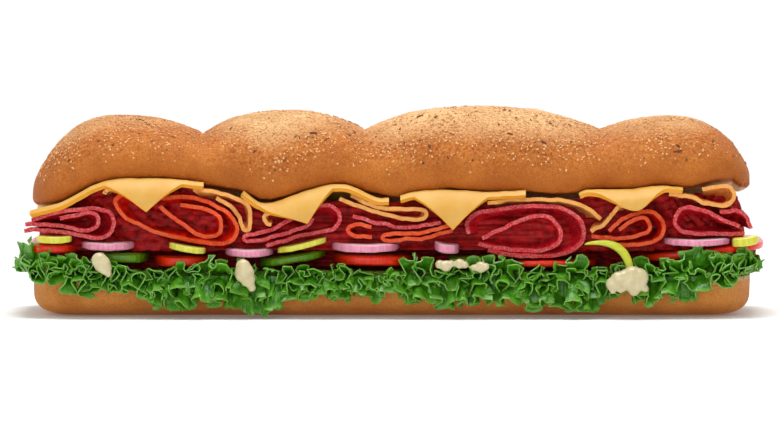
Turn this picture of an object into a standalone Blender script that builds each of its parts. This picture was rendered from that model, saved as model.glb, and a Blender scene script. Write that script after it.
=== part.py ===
"""A footlong submarine sandwich with its fillings, as one still object.

Lengths in the tables are millimetres: x runs along the loaf, y from the front (minus) to the
back, z up from the table. The fillings run right through the loaf, so the front, the back and
the two ends show the same layers. Every slice of meat and cheese is drawn once as a fold in the
x-z plane, and one squeeze towards the middle of the loaf is applied to all of them, so that
neighbours stay clear of each other all the way through.
"""

from math import cos, pi, radians, sin
from typing import NamedTuple

import bmesh
import bpy
import numpy as np
from mathutils import Matrix, Vector

MM = 0.001

# Driving sizes of the loaf.
LOAF_LEFT, LOAF_RIGHT = -149.2, 151.9
HALF_WIDTH = 41.0
HEEL_TOP = 16.6
LOBE_TOPS = ((-113.4, 82.9), (-43.2, 85.0), (36.4, 86.7), (120.9, 82.7))
LOBE_VALLEYS = ((-78.1, 75.6), (-9.5, 77.2), (89.0, 77.4))
LOBE_ENDS_Z, LOBE_POWER = 74.0, 2.4

# How the loaf rounds off at its ends: reach along x, and the power of the curve.
SIDE_REACH, SIDE_POWER = 36.0, 2.2
DOME_REACH, DOME_POWER = 34.0, 2.3
HEEL_REACH, HEEL_POWER, HEEL_LIFT = 13.0, 2.0, 11.0
END_WIDTH = 0.45

# The crown's section: how many points go over it, how far its sides stand up from the cut face,
# and how square its shoulders are.
DOME_POINTS = 12
DOME_FOOT, DOME_RISE = 1.2, 1.5
SHOULDER_Y, SHOULDER_Z = 0.86, 0.8
# Half of the heel's section: share of the half width, and height.
HEEL_SIDE = ((1.0, HEEL_TOP - 1.0), (1.0, 9.0), (0.97, 4.0), (0.9, 1.2), (0.78, 0.0), (0.3, 0.0))
CUT_EDGE = 0.97

# The squeeze: stations from front to back, and how much of its height a layer keeps at each.
STATIONS = (-HALF_WIDTH, -20.0, 20.0, HALF_WIDTH)
MIDDLE_KEEP = 0.66
SQUEEZE_BASE = 31.0

MEAT_THICK = 1.3
CHEESE_THICK = 2.0
CRUST_GAP = 0.5
CUT_EASE = 0.9
CUT_SHARES = (CUT_EDGE, 20.0 / HALF_WIDTH, -20.0 / HALF_WIDTH, -CUT_EDGE)
BEND_STEP = 48.0

# How the fillings draw in towards the two ends of the loaf.
FILLING_END = 157.0
CORNER_REACH, CORNER_CUT = 34.0, 0.24

PAINTS = {
    "crust": ((0.56, 0.25, 0.07), 0.75),
    "cheese": ((0.84, 0.44, 0.08), 0.4),
    "turkey": ((0.62, 0.27, 0.07), 0.45),
    "salami": ((0.38, 0.03, 0.03), 0.4),
    "pepperoni": ((0.45, 0.03, 0.01), 0.35),
    "onion": ((0.70, 0.38, 0.48), 0.3),
    "pickle": ((0.42, 0.42, 0.06), 0.3),
    "pepper": ((0.38, 0.42, 0.05), 0.25),
    "tomato": ((0.60, 0.03, 0.01), 0.25),
    "cucumber": ((0.08, 0.20, 0.01), 0.3),
    "lettuce": ((0.05, 0.16, 0.01), 0.4),
    "sauce": ((0.62, 0.54, 0.34), 0.25),
}


class Bend(NamedTuple):
    """A round stretch of a fold: part of an ellipse, in degrees from +x towards +z."""

    x: float
    z: float
    rx: float
    rz: float
    start: float
    end: float


class Slab(NamedTuple):
    """A flat slice: its centre, half sizes along x and y, thickness, and tilt along x."""

    x: float
    y: float
    z: float
    rx: float
    ry: float
    thick: float
    tilt: float


class Flap(NamedTuple):
    """A corner of a cheese slice that hangs over the edge: where, how wide each way, how far."""

    x: float
    left: float
    right: float
    drop: float
    round_tip: bool


FOLDS = {
    "salami_left_outer": (
        (-148.5, 41.2), (-140.0, 43.2), (-131.0, 45.4), Bend(-121.6, 39.5, 7.8, 6.5, 85, -95),
        (-131.0, 35.2), (-141.0, 36.8), (-151.5, 36.2),
    ),
    "salami_left_inner": (
        (-136.5, 41.3), (-131.0, 43.0), Bend(-125.0, 40.4, 4.6, 3.9, 100, -100),
        (-132.5, 38.0), (-140.0, 39.2), (-151.0, 39.0),
    ),
    "pepperoni_left_outer": (
        (-97.0, 52.8), Bend(-107.8, 47.9, 6.0, 4.5, 85, 210), (-109.4, 41.9), (-103.5, 38.6),
        (-94.0, 35.2), (-82.0, 32.1), Bend(-69.8, 37.0, 7.4, 6.4, -100, 40),
        (-67.6, 44.7), (-73.0, 47.7), (-80.0, 49.7), (-87.5, 50.6), (-94.5, 50.2),
    ),
    "pepperoni_left_inner": (
        (-95.0, 46.6), (-88.0, 40.6), (-80.5, 35.3), Bend(-74.5, 39.2, 5.6, 5.6, -110, 80),
        (-80.0, 46.2), (-86.5, 47.2),
    ),
    "salami_middle_fold": (
        (-34.2, 44.3), (-39.0, 41.8), (-47.5, 37.3), (-56.0, 34.7), Bend(-58.0, 33.4, 2.0, 1.4, 100, 260),
        (-52.0, 32.6), (-44.0, 34.9), (-37.0, 36.9), (-32.4, 39.0), (-31.6, 41.6),
    ),
    "salami_middle_roll": (
        (-51.0, 30.2), (-45.0, 31.9), (-36.5, 34.2), (-29.5, 35.9),
        Bend(-26.0, 41.6, 6.2, 5.4, -75, 95), (-29.5, 47.2),
    ),
    "turkey_left_strand": (
        (-81.4, 53.4), (-74.0, 53.3), (-66.5, 51.3), Bend(-63.6, 45.4, 5.6, 3.8, 65, -5),
        (-57.0, 41.0), Bend(-59.2, 38.4, 2.0, 2.0, -10, -170), (-61.9, 42.4), (-65.0, 46.6),
        (-71.5, 50.0),
    ),
    "turkey_small_loop": ((-37.8, 46.0), (-44.0, 44.5), Bend(-48.2, 41.6, 3.6, 2.5, 110, 265)),
    "turkey_middle_fold": (
        (-20.6, 49.8), (-11.0, 46.0), (-3.0, 43.4), (6.0, 41.4), Bend(13.2, 43.3, 3.0, 2.0, -80, 80),
        (6.0, 45.2), (-2.0, 45.8), (-9.0, 47.6), (-15.5, 51.0),
    ),
    "turkey_left_curl": ((-111.6, 54.2), Bend(-114.6, 52.0, 3.4, 1.8, 90, 185)),
    "salami_middle_flat": ((-15.0, 42.4), (-6.0, 40.2), (2.0, 37.9), (10.5, 37.6), (21.5, 40.2)),
    "pepperoni_middle_fold": (
        (25.6, 38.6), (18.5, 36.4), (8.0, 35.2), Bend(-0.4, 33.7, 2.4, 1.3, 95, 265),
        (9.0, 32.6), (17.0, 33.7), (26.4, 36.2),
    ),
    "pepperoni_middle_roll": ((-7.0, 33.8), Bend(-12.6, 36.5, 4.6, 2.7, -100, -260), (-7.4, 38.2)),
    "salami_big_outer": (
        (41.5, 28.0), (50.0, 26.1), Bend(68.0, 36.0, 13.8, 10.6, -100, 75),
        (60.0, 46.8), (50.0, 46.3), Bend(41.2, 38.0, 8.9, 6.9, 110, 205),
    ),
    "salami_big_inner": (
        (38.9, 33.0), (47.0, 37.2), (54.5, 41.2), Bend(62.6, 35.5, 9.3, 7.5, 95, -90),
        (52.5, 28.1), (45.5, 29.4), (37.4, 31.0),
    ),
    "turkey_right_top": (
        (41.0, 47.8), (47.0, 49.1), (60.0, 49.6), (72.0, 49.3), (79.5, 47.9), (84.5, 44.6),
        (88.2, 41.2),
    ),
    "turkey_right_fold": ((84.2, 36.4), (89.0, 38.8), (92.6, 42.6), (95.2, 46.6), (98.8, 46.9)),
    "pepperoni_right_outer": (
        (91.5, 36.2), (97.0, 41.2), Bend(106.6, 37.9, 8.0, 7.0, 115, -75),
        (100.0, 30.7), (94.0, 30.2), (89.2, 30.9),
    ),
    "pepperoni_right_inner": (
        (95.8, 36.6), (99.6, 40.0), Bend(104.3, 38.4, 4.3, 3.7, 110, -75),
        (99.5, 33.5), (92.0, 33.1), (84.4, 34.2),
    ),
    "salami_right_outer": (
        (148.3, 35.1), (137.0, 35.1), Bend(125.0, 40.7, 6.6, 5.5, -90, -275),
        (131.0, 45.2), (138.5, 41.2), (146.0, 37.8),
    ),
    "salami_right_fold": ((137.9, 44.2), (143.0, 45.0), (147.8, 44.2), (149.6, 41.0), (150.8, 37.0)),
    "turkey_right_loop": (
        (116.5, 51.9), (124.0, 50.9), (131.0, 48.3), Bend(138.6, 51.0, 5.6, 4.4, -100, 100),
        (130.0, 53.6),
    ),
}

# Each cheese slice as it lies on the meat, with the corner that hangs at the front.
CHEESES = {
    "cheese_1": (
        ((-149.3, 43.6), (-141.0, 45.7), (-134.5, 47.6), (-128.5, 51.2), (-121.5, 54.9), (-113.5, 57.0),
         (-103.0, 57.5), (-92.0, 57.3), (-83.0, 56.2), (-76.2, 55.6)),
        Flap(-100.4, 17.5, 14.5, 13.0, False),
    ),
    "cheese_2": (
        ((-60.8, 52.4), (-57.4, 49.6), (-53.6, 47.2), (-48.6, 46.9), (-39.0, 50.2), (-31.8, 52.8),
         (-25.1, 54.6), (-19.4, 55.1), (-14.6, 53.8), (-9.1, 51.0), (-4.0, 49.0), (0.8, 49.2)),
        Flap(-33.6, 20.0, 10.5, 12.5, False),
    ),
    "cheese_3": (
        ((4.6, 50.0), (9.8, 51.4), (18.0, 52.4), (25.0, 52.6), (33.0, 52.2), (41.0, 51.4), (50.0, 52.0),
         (57.6, 52.2)),
        Flap(26.7, 16.0, 14.5, 15.5, False),
    ),
    "cheese_4": (
        ((79.0, 51.4), (82.8, 52.8), (93.2, 52.4), (103.7, 53.0), (111.7, 54.5), (122.6, 53.6)),
        Flap(103.0, 20.0, 13.5, 8.0, True),
    ),
}
ROOF_ENDS = (((-150.5, 43.2),), ((68.0, 51.9),), ((131.0, 55.2), (138.6, 56.7), (146.0, 56.0), (153.0, 49.0)))

TOMATOES = (
    Slab(-139.6, 0, 28.7, 10.8, 40.5, 4.2, 0), Slab(-85.8, 0, 23.4, 12.6, 41, 4.8, 0),
    Slab(-6.8, 0, 23.9, 17.0, 41, 4.8, 1), Slab(67.0, 0, 22.6, 21.0, 41, 3.2, 0),
    Slab(131.0, 0, 27.0, 26.2, 38.0, 4.0, -6),
)
CUCUMBERS = (
    Slab(-110.4, 0, 24.8, 10.8, 40.5, 4.4, 0), Slab(-40.2, 0, 24.3, 15.0, 41, 4.0, -9.5),
    Slab(34.2, 0, 23.3, 9.8, 39, 3.8, 0),
)
ONIONS = (
    Slab(-116.6, -28, 30.0, 11.2, 18.5, 3.2, 0), Slab(-58.0, -28, 27.3, 10.2, 19.0, 3.2, 0),
    Slab(-9.6, -28, 29.4, 14.3, 19.0, 3.4, 0), Slab(24.2, -36, 29.3, 5.0, 10.5, 4.2, 8),
    Slab(128.0, -30.5, 31.6, 14.0, 14.0, 2.8, 0), Slab(-9.6, 28, 29.4, 14.3, 18.5, 3.4, 0),
    Slab(-116.6, 28, 30.0, 11.2, 18.5, 3.2, 0),
)
PICKLES = (
    Slab(-138.8, -39.5, 32.8, 7.2, 6.2, 2.8, 0), Slab(-83.6, -39.0, 29.1, 7.6, 7.6, 3.0, 9),
    Slab(-36.0, -37.5, 30.3, 10.2, 9.0, 2.8, -13), Slab(148.2, -38.6, 32.0, 5.4, 5.6, 4.0, -8),
    Slab(-83.6, 37.5, 29.1, 7.6, 7.6, 3.0, 9),
)
# Sauce: centre x, z, half width, half height, where its narrow end points, and side of the loaf.
DOLLOPS = (
    (-118.2, 22.6, 5.2, 5.8, -35, -1), (-58.8, 18.8, 5.4, 7.6, -20, -1), (30.4, 22.6, 12.0, 2.8, 0, -1),
    (99.2, 16.2, 10.2, 6.4, 0, -1), (-30.0, 19.5, 5.6, 6.4, -25, 1), (96.0, 18.0, 9.0, 5.8, 0, 1),
)
DOLLOP_OUT, DOLLOP_DEPTH, DOLLOP_TAPER = 49.6, 4.2, 0.28

PEPPER_RADIUS = 1.6
PEPPER_ROUTE = ((81.0, -44.2, 31.6), (86.0, -44.8, 32.2), (91.5, -45.6, 29.8), (95.6, -46.8, 26.0))

LEAVES = ((-157.0, -97.0), (-96.2, -22.0), (-21.2, 62.0), (62.8, 157.0))
LEAF_THICK = 1.2
LEAF_COLUMN = 4.2
LEAF_FLAT, LEAF_Z = 38.5, 18.4
LEAF_ROWS = (-51.0, -47.3, -43.4, -38.5, 38.5, 43.4, 47.3, 51.0)
LEAF_DROOP, LEAF_DROOP_POWER, LEAF_DROOP_WAVE = 9.0, 1.5, 17.0
# Ruffles: length of a wave, its height, the slower wave on top of it, and its swing outwards.
RUFFLE, RUFFLE_TALL = 13.0, 5.6
RUFFLE_MAIN, RUFFLE_SLOW, RUFFLE_SLOW_RATE = 0.75, 0.45, 0.43
RUFFLE_SWING, RUFFLE_SWING_RATE = 1.2, 1.7
# Near the crust the leaf's lowest height; past LEAF_END_X it lifts off the crust.
LEAF_CLEAR = 17.2
LEAF_END_X, LEAF_END_REACH, LEAF_END_WAVE = 151.0, 6.0, 2.5
# Sauce presses a leaf back by PRESS_DEPTH, from PRESS_NEAR to PRESS_FAR past the drop's side.
PRESS_DEPTH, PRESS_NEAR, PRESS_FAR = 5.5, 2.5, 7.5

# A hanging corner of cheese: how far out it stands, and the share of its drop, at tip and shoulder.
HANG_CLEAR = 0.3
HANG = ((5.6, 1.0), (3.6, 0.3))


def paint(name):
    """The material of this name, made the first time that it is asked for."""
    found = bpy.data.materials.get(name)
    if found:
        return found
    colour, roughness = PAINTS[name]
    material = bpy.data.materials.new(name)
    material.use_nodes = True
    shader = material.node_tree.nodes["Principled BSDF"]
    shader.inputs["Base Color"].default_value = (*colour, 1.0)
    shader.inputs["Roughness"].default_value = roughness
    shader.inputs["Metallic"].default_value = 0.0
    material.diffuse_color = (*colour, 1.0)
    return material


def add_object(name, shape, paint_name, collection):
    """Turns a bmesh in millimetres into an object of this name."""
    bmesh.ops.scale(shape, vec=(MM, MM, MM), verts=shape.verts)
    bmesh.ops.recalc_face_normals(shape, faces=shape.faces)
    mesh = bpy.data.meshes.new(name)
    shape.to_mesh(mesh)
    shape.free()
    mesh.shade_smooth()
    mesh.materials.append(paint(paint_name))
    made = bpy.data.objects.new(name, mesh)
    collection.objects.link(made)
    return made


def keep(y):
    """How much of its height a layer keeps at this y."""
    return float(np.interp(y, STATIONS, (1.0, MIDDLE_KEEP, MIDDLE_KEEP, 1.0)))


def corner(x):
    """How much of its width the filling keeps at this x, as it rounds off towards the two ends."""
    share = max(0.0, 1 - (FILLING_END - abs(x)) / CORNER_REACH)
    return 1 - CORNER_CUT * share * share


def squeezed(z, y):
    """The height of a filling at this y, from its height at the mouth."""
    return SQUEEZE_BASE + (z - SQUEEZE_BASE) * keep(y)


def fold_line(steps):
    """The centre line of a fold, with each Bend turned into points."""
    points = []
    for step in steps:
        if not isinstance(step, Bend):
            points.append(Vector(step))
            continue
        count = max(3, round(abs(step.end - step.start) / BEND_STEP))
        for i in range(count + 1):
            angle = radians(step.start + (step.end - step.start) * i / count)
            points.append(Vector((step.x + step.rx * cos(angle), step.z + step.rz * sin(angle))))
    return points


def outline_of(line, thick):
    """The closed outline of a strip of this thickness along a line."""
    sides = []
    for i, point in enumerate(line):
        along = (line[min(i + 1, len(line) - 1)] - line[max(i - 1, 0)]).normalized()
        sides.append((point, Vector((-along.y, along.x)) * thick / 2))
    return [p + n for p, n in sides] + [p - n for p, n in reversed(sides)]


def bridge(shape, rings):
    """Joins closed rings of equal length with quads and closes the two ends."""
    loops = [[shape.verts.new(co) for co in ring] for ring in rings]
    size = len(loops[0])
    for near, far in zip(loops, loops[1:]):
        for i in range(size):
            j = (i + 1) % size
            shape.faces.new((near[i], near[j], far[j], far[i]))
    return loops


def close_strip(shape, loop):
    """Closes a strip's end with quads across it."""
    half = len(loop) // 2
    for i in range(half - 1):
        shape.faces.new((loop[i], loop[i + 1], loop[-2 - i], loop[-1 - i]))


def add_fold(name, steps, collection):
    """One folded slice of meat, from its mouth at the front to its mouth at the back."""
    outline = outline_of(fold_line(steps), MEAT_THICK)
    shape = bmesh.new()
    loops = bridge(shape, [[(p.x, y * corner(p.x), squeezed(p.y, y)) for p in outline] for y in STATIONS])
    close_strip(shape, loops[0])
    close_strip(shape, loops[-1])
    return add_object(name, shape, name.split("_")[0], collection)


def flap_share(flap, x):
    """How far the hanging corner reaches at this x, from 0 to 1."""
    share = 1 - (flap.x - x) / flap.left if x < flap.x else 1 - (x - flap.x) / flap.right
    share = max(0.0, share)
    return share * share * (3 - 2 * share) if flap.round_tip else share


def add_cheese(name, line, flap, collection):
    """A cheese slice that lies on the meat, with a corner over the front and one over the back."""
    ends = {line[0][0], line[-1][0], flap.x, flap.x - flap.left, flap.x + flap.right}
    steps = sorted(ends | {x for x, _ in line} | {flap.x - flap.left / 2, flap.x + flap.right / 2})
    steps = [x for x in steps if line[0][0] <= x <= line[-1][0]]
    shape = bmesh.new()
    columns = []
    for x in steps:
        rim = float(np.interp(x, *zip(*line)))
        share = flap_share(flap, x)
        hang = [(HALF_WIDTH + HANG_CLEAR + out * share, rim - fall * flap.drop * share)
                for out, fall in HANG]
        column = [(x, -y, z) for y, z in hang]
        column += [(x, y, squeezed(rim, y)) for y in STATIONS]
        column += [(x, y, z) for y, z in reversed(hang)]
        columns.append([shape.verts.new((x, y * corner(x), z)) for x, y, z in column])
    for near, far in zip(columns, columns[1:]):
        for i in range(len(near) - 1):
            shape.faces.new((near[i], far[i], far[i + 1], near[i + 1]))
    slice_ = add_object(name, shape, "cheese", collection)
    wall = slice_.modifiers.new("Slice", "SOLIDIFY")
    wall.thickness = CHEESE_THICK * MM
    wall.offset = 0.0
    return slice_


def roof(x):
    """The height of the upper half's cut face at the rim, just clear of the cheese."""
    route = [p for line, _ in CHEESES.values() for p in line]
    route = sorted(route + [p for end in ROOF_ENDS for p in end])
    nearby = np.interp([x + step for step in (-4, -2, 0, 2, 4)], *zip(*route))
    return float(nearby.max()) + CHEESE_THICK / 2 + CRUST_GAP


def loaf_top(x):
    """The height of the ridge: four lobes with tight valleys between them."""
    valleys = [(LOAF_LEFT, LOBE_ENDS_Z), *LOBE_VALLEYS, (LOAF_RIGHT, LOBE_ENDS_Z)]
    for (x0, low), (x1, high), (x2, next_low) in zip(valleys, LOBE_TOPS, valleys[1:]):
        if x <= x2 or x2 == LOAF_RIGHT:
            start, base = (x0, low) if x < x1 else (x2, next_low)
            share = min(1.0, abs((x - x1) / (start - x1)))
            return high - (high - base) * share ** LOBE_POWER
    return LOBE_TOPS[-1][1]


def end_share(x, reach, power):
    """1 along the loaf, falling to 0 at its ends as a rounded end does."""
    inward = min(x - LOAF_LEFT, LOAF_RIGHT - x)
    share = min(1.0, max(0.0, 1 - inward / reach))
    return (1 - share ** power) ** (1 / power)


def loaf_width(x):
    """Half of the loaf's width at this x."""
    return HALF_WIDTH * (END_WIDTH + (1 - END_WIDTH) * end_share(x, SIDE_REACH, SIDE_POWER))


def loaf_steps(count):
    """Places along the loaf, closer together at its ends."""
    middle, half = (LOAF_LEFT + LOAF_RIGHT) / 2, (LOAF_RIGHT - LOAF_LEFT) / 2
    even = np.linspace(-1, 1, count)
    return middle + half * (0.55 * even + 0.45 * np.sin(even * pi / 2))


def crown_ring(x):
    """One section of the upper half: a dome over a cut face that follows the fillings."""
    width = loaf_width(x)
    rim = roof(x)
    foot = rim + DOME_FOOT
    top = rim + DOME_RISE + (loaf_top(x) - rim - DOME_RISE) * end_share(x, DOME_REACH, DOME_POWER)
    ring = []
    for i in range(DOME_POINTS):
        angle = pi * i / (DOME_POINTS - 1)
        y = -width * abs(cos(angle)) ** SHOULDER_Y * (1 if cos(angle) > 0 else -1)
        ring.append((x, y, foot + (top - foot) * sin(angle) ** SHOULDER_Z))
    for share in CUT_SHARES:
        y = share * width
        ease = CUT_EASE * (1 - abs(share))
        ring.append((x, y, squeezed(rim, y / corner(x)) + ease))
    return ring


def heel_ring(x):
    """One section of the lower half: flat base, rounded lower edges, flat cut face."""
    width = loaf_width(x)
    lift = HEEL_LIFT * (1 - end_share(x, HEEL_REACH, HEEL_POWER))
    ring = [(x, -share * width, max(z, lift)) for share, z in HEEL_SIDE]
    ring += [(x, share * width, max(z, lift)) for share, z in reversed(HEEL_SIDE)]
    return ring + [(x, share * width, HEEL_TOP) for share in (CUT_EDGE, 0.0, -CUT_EDGE)]


def add_bread(name, ring_of, count, collection):
    """A half of the loaf, lofted through its sections."""
    shape = bmesh.new()
    loops = bridge(shape, [ring_of(x) for x in loaf_steps(count)])
    caps = [shape.faces.new(loops[0]), shape.faces.new(loops[-1])]
    bmesh.ops.triangulate(shape, faces=caps)
    return add_object(name, shape, "crust", collection)


def add_slab(name, slab, sides, collection):
    """A flat slice with a rounded rim, from a primitive disc."""
    shape = bmesh.new()
    bmesh.ops.create_cone(shape, cap_ends=True, segments=sides, radius1=1.0, radius2=1.0, depth=1.0)
    rim = [e for e in shape.edges if abs(e.verts[0].co.z - e.verts[1].co.z) < 0.1 and len(e.link_faces) == 2]
    bmesh.ops.scale(shape, vec=(slab.rx, slab.ry, slab.thick), verts=shape.verts)
    bmesh.ops.bevel(shape, geom=rim, offset=slab.thick * 0.2, segments=1, affect="EDGES")
    turn = Matrix.Rotation(radians(slab.tilt), 4, "Y")
    bmesh.ops.transform(shape, matrix=Matrix.Translation((slab.x, slab.y, slab.z)) @ turn, verts=shape.verts)
    return add_object(name, shape, name.split("_")[0], collection)


def add_dollop(name, place, collection):
    """A drop of sauce: an egg with its narrow end turned, sitting against the leaf's edge."""
    x, z, wide, tall, turn, side = place
    shape = bmesh.new()
    bmesh.ops.create_uvsphere(shape, u_segments=10, v_segments=6, radius=1.0)
    for vert in shape.verts:
        narrow = 1 - DOLLOP_TAPER * max(0.0, -vert.co.z)
        vert.co.x *= narrow * wide
        vert.co.y *= narrow * DOLLOP_DEPTH
        vert.co.z *= tall
    spin = Matrix.Rotation(radians(turn), 4, "Y")
    bmesh.ops.transform(shape, matrix=Matrix.Translation((x, side * DOLLOP_OUT, z)) @ spin, verts=shape.verts)
    return add_object(name, shape, "sauce", collection)


def pressed(x, side):
    """How far a leaf is pressed back by the sauce in front of it, from 0 to 1."""
    near = [abs(x - d[0]) - d[2] for d in DOLLOPS if d[5] == side]
    return float(np.clip(1 - (min(near) - PRESS_NEAR) / (PRESS_FAR - PRESS_NEAR), 0, 1))


def leaf_point(x, row):
    """A point of the lettuce: flat under the fillings, ruffled and drooping past the crust."""
    side = -1 if row < 0 else 1
    end = max(0.0, abs(x) - LEAF_END_X) / LEAF_END_REACH
    if abs(row) <= LEAF_FLAT:
        return x, row * corner(x), LEAF_Z + LEAF_END_WAVE * end * sin(row / 9.0)
    past = (abs(row) - LEAF_FLAT) / (LEAF_ROWS[-1] - LEAF_FLAT)
    press = pressed(x, side)
    phase = 2 * pi * x / RUFFLE + side
    free = past * (1 - press)
    wave = RUFFLE_MAIN * sin(phase) + RUFFLE_SLOW * sin(phase * RUFFLE_SLOW_RATE + 1.3)
    out = abs(row) - past * PRESS_DEPTH * press + RUFFLE_SWING * free * cos(phase * RUFFLE_SWING_RATE)
    droop = LEAF_DROOP * past ** LEAF_DROOP_POWER * (1 - 0.25 * sin(x / LEAF_DROOP_WAVE)) * (1 - 0.7 * end)
    height = LEAF_Z - droop + RUFFLE_TALL * free * wave
    return x, side * out * corner(x), max(height, LEAF_CLEAR) if past < 0.5 else height


def add_leaf(name, start, end, collection):
    """A lettuce leaf that runs from the front edge to the back edge of the loaf."""
    shape = bmesh.new()
    count = round((end - start) / LEAF_COLUMN)
    columns = []
    for i in range(count + 1):
        x = start + (end - start) * i / count
        columns.append([shape.verts.new(leaf_point(x, row)) for row in LEAF_ROWS])
    for near, far in zip(columns, columns[1:]):
        for i in range(len(LEAF_ROWS) - 1):
            shape.faces.new((near[i], far[i], far[i + 1], near[i + 1]))
    leaf = add_object(name, shape, "lettuce", collection)
    wall = leaf.modifiers.new("Leaf", "SOLIDIFY")
    wall.thickness = LEAF_THICK * MM
    wall.offset = 0.0
    return leaf


def add_pepper_strip(name, collection):
    """A strip of green pepper that arches out of the filling and hangs down the front."""
    curve = bpy.data.curves.new(name, "CURVE")
    curve.dimensions = "3D"
    curve.bevel_depth = PEPPER_RADIUS * MM
    curve.bevel_resolution = 1
    curve.use_fill_caps = True
    line = curve.splines.new("POLY")
    line.points.add(len(PEPPER_ROUTE) - 1)
    for point, place in zip(line.points, PEPPER_ROUTE):
        point.co = (*(Vector(place) * MM), 1.0)
    curve.materials.append(paint("pepper"))
    strip = bpy.data.objects.new(name, curve)
    collection.objects.link(strip)
    return strip


def main():
    for old in list(bpy.data.objects):
        bpy.data.objects.remove(old, do_unlink=True)
    collection = bpy.data.collections.new("submarine_sandwich")
    bpy.context.scene.collection.children.link(collection)
    add_bread("bread_top", crown_ring, 42, collection)
    add_bread("bread_bottom", heel_ring, 24, collection)
    for name, steps in FOLDS.items():
        add_fold(name, steps, collection)
    for name, (line, flap) in CHEESES.items():
        add_cheese(name, line, flap, collection)
    for kind, slabs, sides in (
        ("tomato", TOMATOES, 20), ("cucumber", CUCUMBERS, 18), ("onion", ONIONS, 16), ("pickle", PICKLES, 12),
    ):
        for number, slab in enumerate(slabs, 1):
            add_slab(f"{kind}_{number}", slab, sides, collection)
    for number, place in enumerate(DOLLOPS, 1):
        add_dollop(f"sauce_{number}", place, collection)
    for number, (start, end) in enumerate(LEAVES, 1):
        add_leaf(f"lettuce_{number}", start, end, collection)
    add_pepper_strip("pepper_strip", collection)


main()
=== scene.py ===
"""A foot-long submarine sandwich: the looks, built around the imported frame.

Each sub-assembly is a dataclass with its sizes as fields. Its build method makes the meshes and
its dress method gives each its finish. Sizes inside the classes are millimetres, x along the
loaf, y from the front (minus) to the back, z up from the table.
"""

import logging
from collections.abc import Callable, Sequence
from dataclasses import dataclass, field
from enum import Enum
from math import radians, tau

import bpy
import numpy as np
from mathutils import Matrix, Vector


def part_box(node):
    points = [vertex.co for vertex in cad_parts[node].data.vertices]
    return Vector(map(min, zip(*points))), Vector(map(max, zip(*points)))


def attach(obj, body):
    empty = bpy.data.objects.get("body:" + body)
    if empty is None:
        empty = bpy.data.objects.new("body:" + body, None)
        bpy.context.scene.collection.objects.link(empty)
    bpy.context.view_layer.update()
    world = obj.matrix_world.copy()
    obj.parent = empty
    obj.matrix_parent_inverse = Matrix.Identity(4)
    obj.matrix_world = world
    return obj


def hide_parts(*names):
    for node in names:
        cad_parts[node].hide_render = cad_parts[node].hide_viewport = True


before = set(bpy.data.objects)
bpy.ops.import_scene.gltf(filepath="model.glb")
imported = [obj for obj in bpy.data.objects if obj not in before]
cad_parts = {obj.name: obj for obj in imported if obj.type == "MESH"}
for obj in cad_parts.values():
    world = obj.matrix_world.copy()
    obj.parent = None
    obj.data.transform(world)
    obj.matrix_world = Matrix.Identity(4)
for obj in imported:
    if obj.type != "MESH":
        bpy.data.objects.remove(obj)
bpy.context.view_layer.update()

log = logging.getLogger("sandwich")
MM = 0.001
Array = np.ndarray


def tone(red: float, green: float, blue: float) -> tuple[float, float, float, float]:
    """Turns a screen colour into the linear colour that a shader takes.

    Args:
        red, green, blue: the colour, each from 0 to 255.

    Returns:
        The linear colour with full opacity.
    """
    share = np.array([red, green, blue]) / 255
    linear = np.where(share <= 0.04045, share / 12.92, ((share + 0.055) / 1.055) ** 2.4)
    return (*(float(v) for v in linear), 1.0)


def span(node: str) -> tuple[Array, Array]:
    """Gives a frame node's box in millimetres.

    Args:
        node: the node's name.

    Returns:
        The lowest and the highest corner.
    """
    low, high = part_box(node)
    return np.array(low) / MM, np.array(high) / MM


def smooth(low: float, high: float, value: Array) -> Array:
    """Rises from 0 to 1 between two values, level at both.

    Args:
        low, high: where the rise starts and ends.
        value: what is measured.

    Returns:
        The share risen.
    """
    share = np.clip((value - low) / (high - low), 0, 1)
    return share * share * (3 - 2 * share)


def ripple(along: Array, seed: int, waves: int = 5, first: float = 1.0) -> Array:
    """A smooth uneven curve between about -1 and 1.

    Args:
        along: where it is read.
        seed: picks the curve.
        waves: how many sine waves it adds up.
        first: how many turns the longest wave makes per unit.

    Returns:
        The curve's height at each place.
    """
    rng = np.random.default_rng(seed)
    total = np.zeros_like(along, dtype=float)
    for step in range(waves):
        turns = first * 1.71**step * rng.uniform(0.8, 1.2)
        total += np.sin(tau * (turns * along + rng.uniform())) / (step + 1.0) ** 0.8
    return total / 2.2


# Shaping


def deselect() -> None:
    """Deselects everything, so that an operator acts only on what comes next."""
    bpy.ops.object.select_all(action="DESELECT")


def move_points(piece: bpy.types.Object, points: Array) -> None:
    """Places a mesh's points.

    Args:
        piece: the object, which stays at the origin.
        points: one row of x, y and z for each point, in millimetres.
    """
    piece.data.vertices.foreach_set("co", (points * MM).astype(np.float32).ravel())
    piece.data.update()


def read_points(piece: bpy.types.Object) -> Array:
    """Reads a mesh's points in its own units.

    Args:
        piece: the object.

    Returns:
        One row for each point.
    """
    flat = np.empty(len(piece.data.vertices) * 3, np.float32)
    piece.data.vertices.foreach_get("co", flat)
    return flat.reshape(-1, 3).astype(float)


def note(piece: bpy.types.Object, name: str, values: Array) -> None:
    """Keeps a number for each point, which a finish can read.

    Args:
        piece: the object.
        name: what the number is called.
        values: one number for each point.
    """
    kept = piece.data.attributes.new(name, "FLOAT", "POINT")
    kept.data.foreach_set("value", np.asarray(values, np.float32))


def apply_modifier(piece: bpy.types.Object, kind: str, **settings: object) -> None:
    """Adds a modifier and applies it.

    Args:
        piece: the object.
        kind: the modifier's type.
        settings: its values.
    """
    deselect()
    piece.select_set(True)
    bpy.context.view_layer.objects.active = piece
    made = piece.modifiers.new(kind.title(), kind)
    for key, value in settings.items():
        setattr(made, key, value)
    bpy.ops.object.modifier_apply(modifier=made.name)


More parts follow.
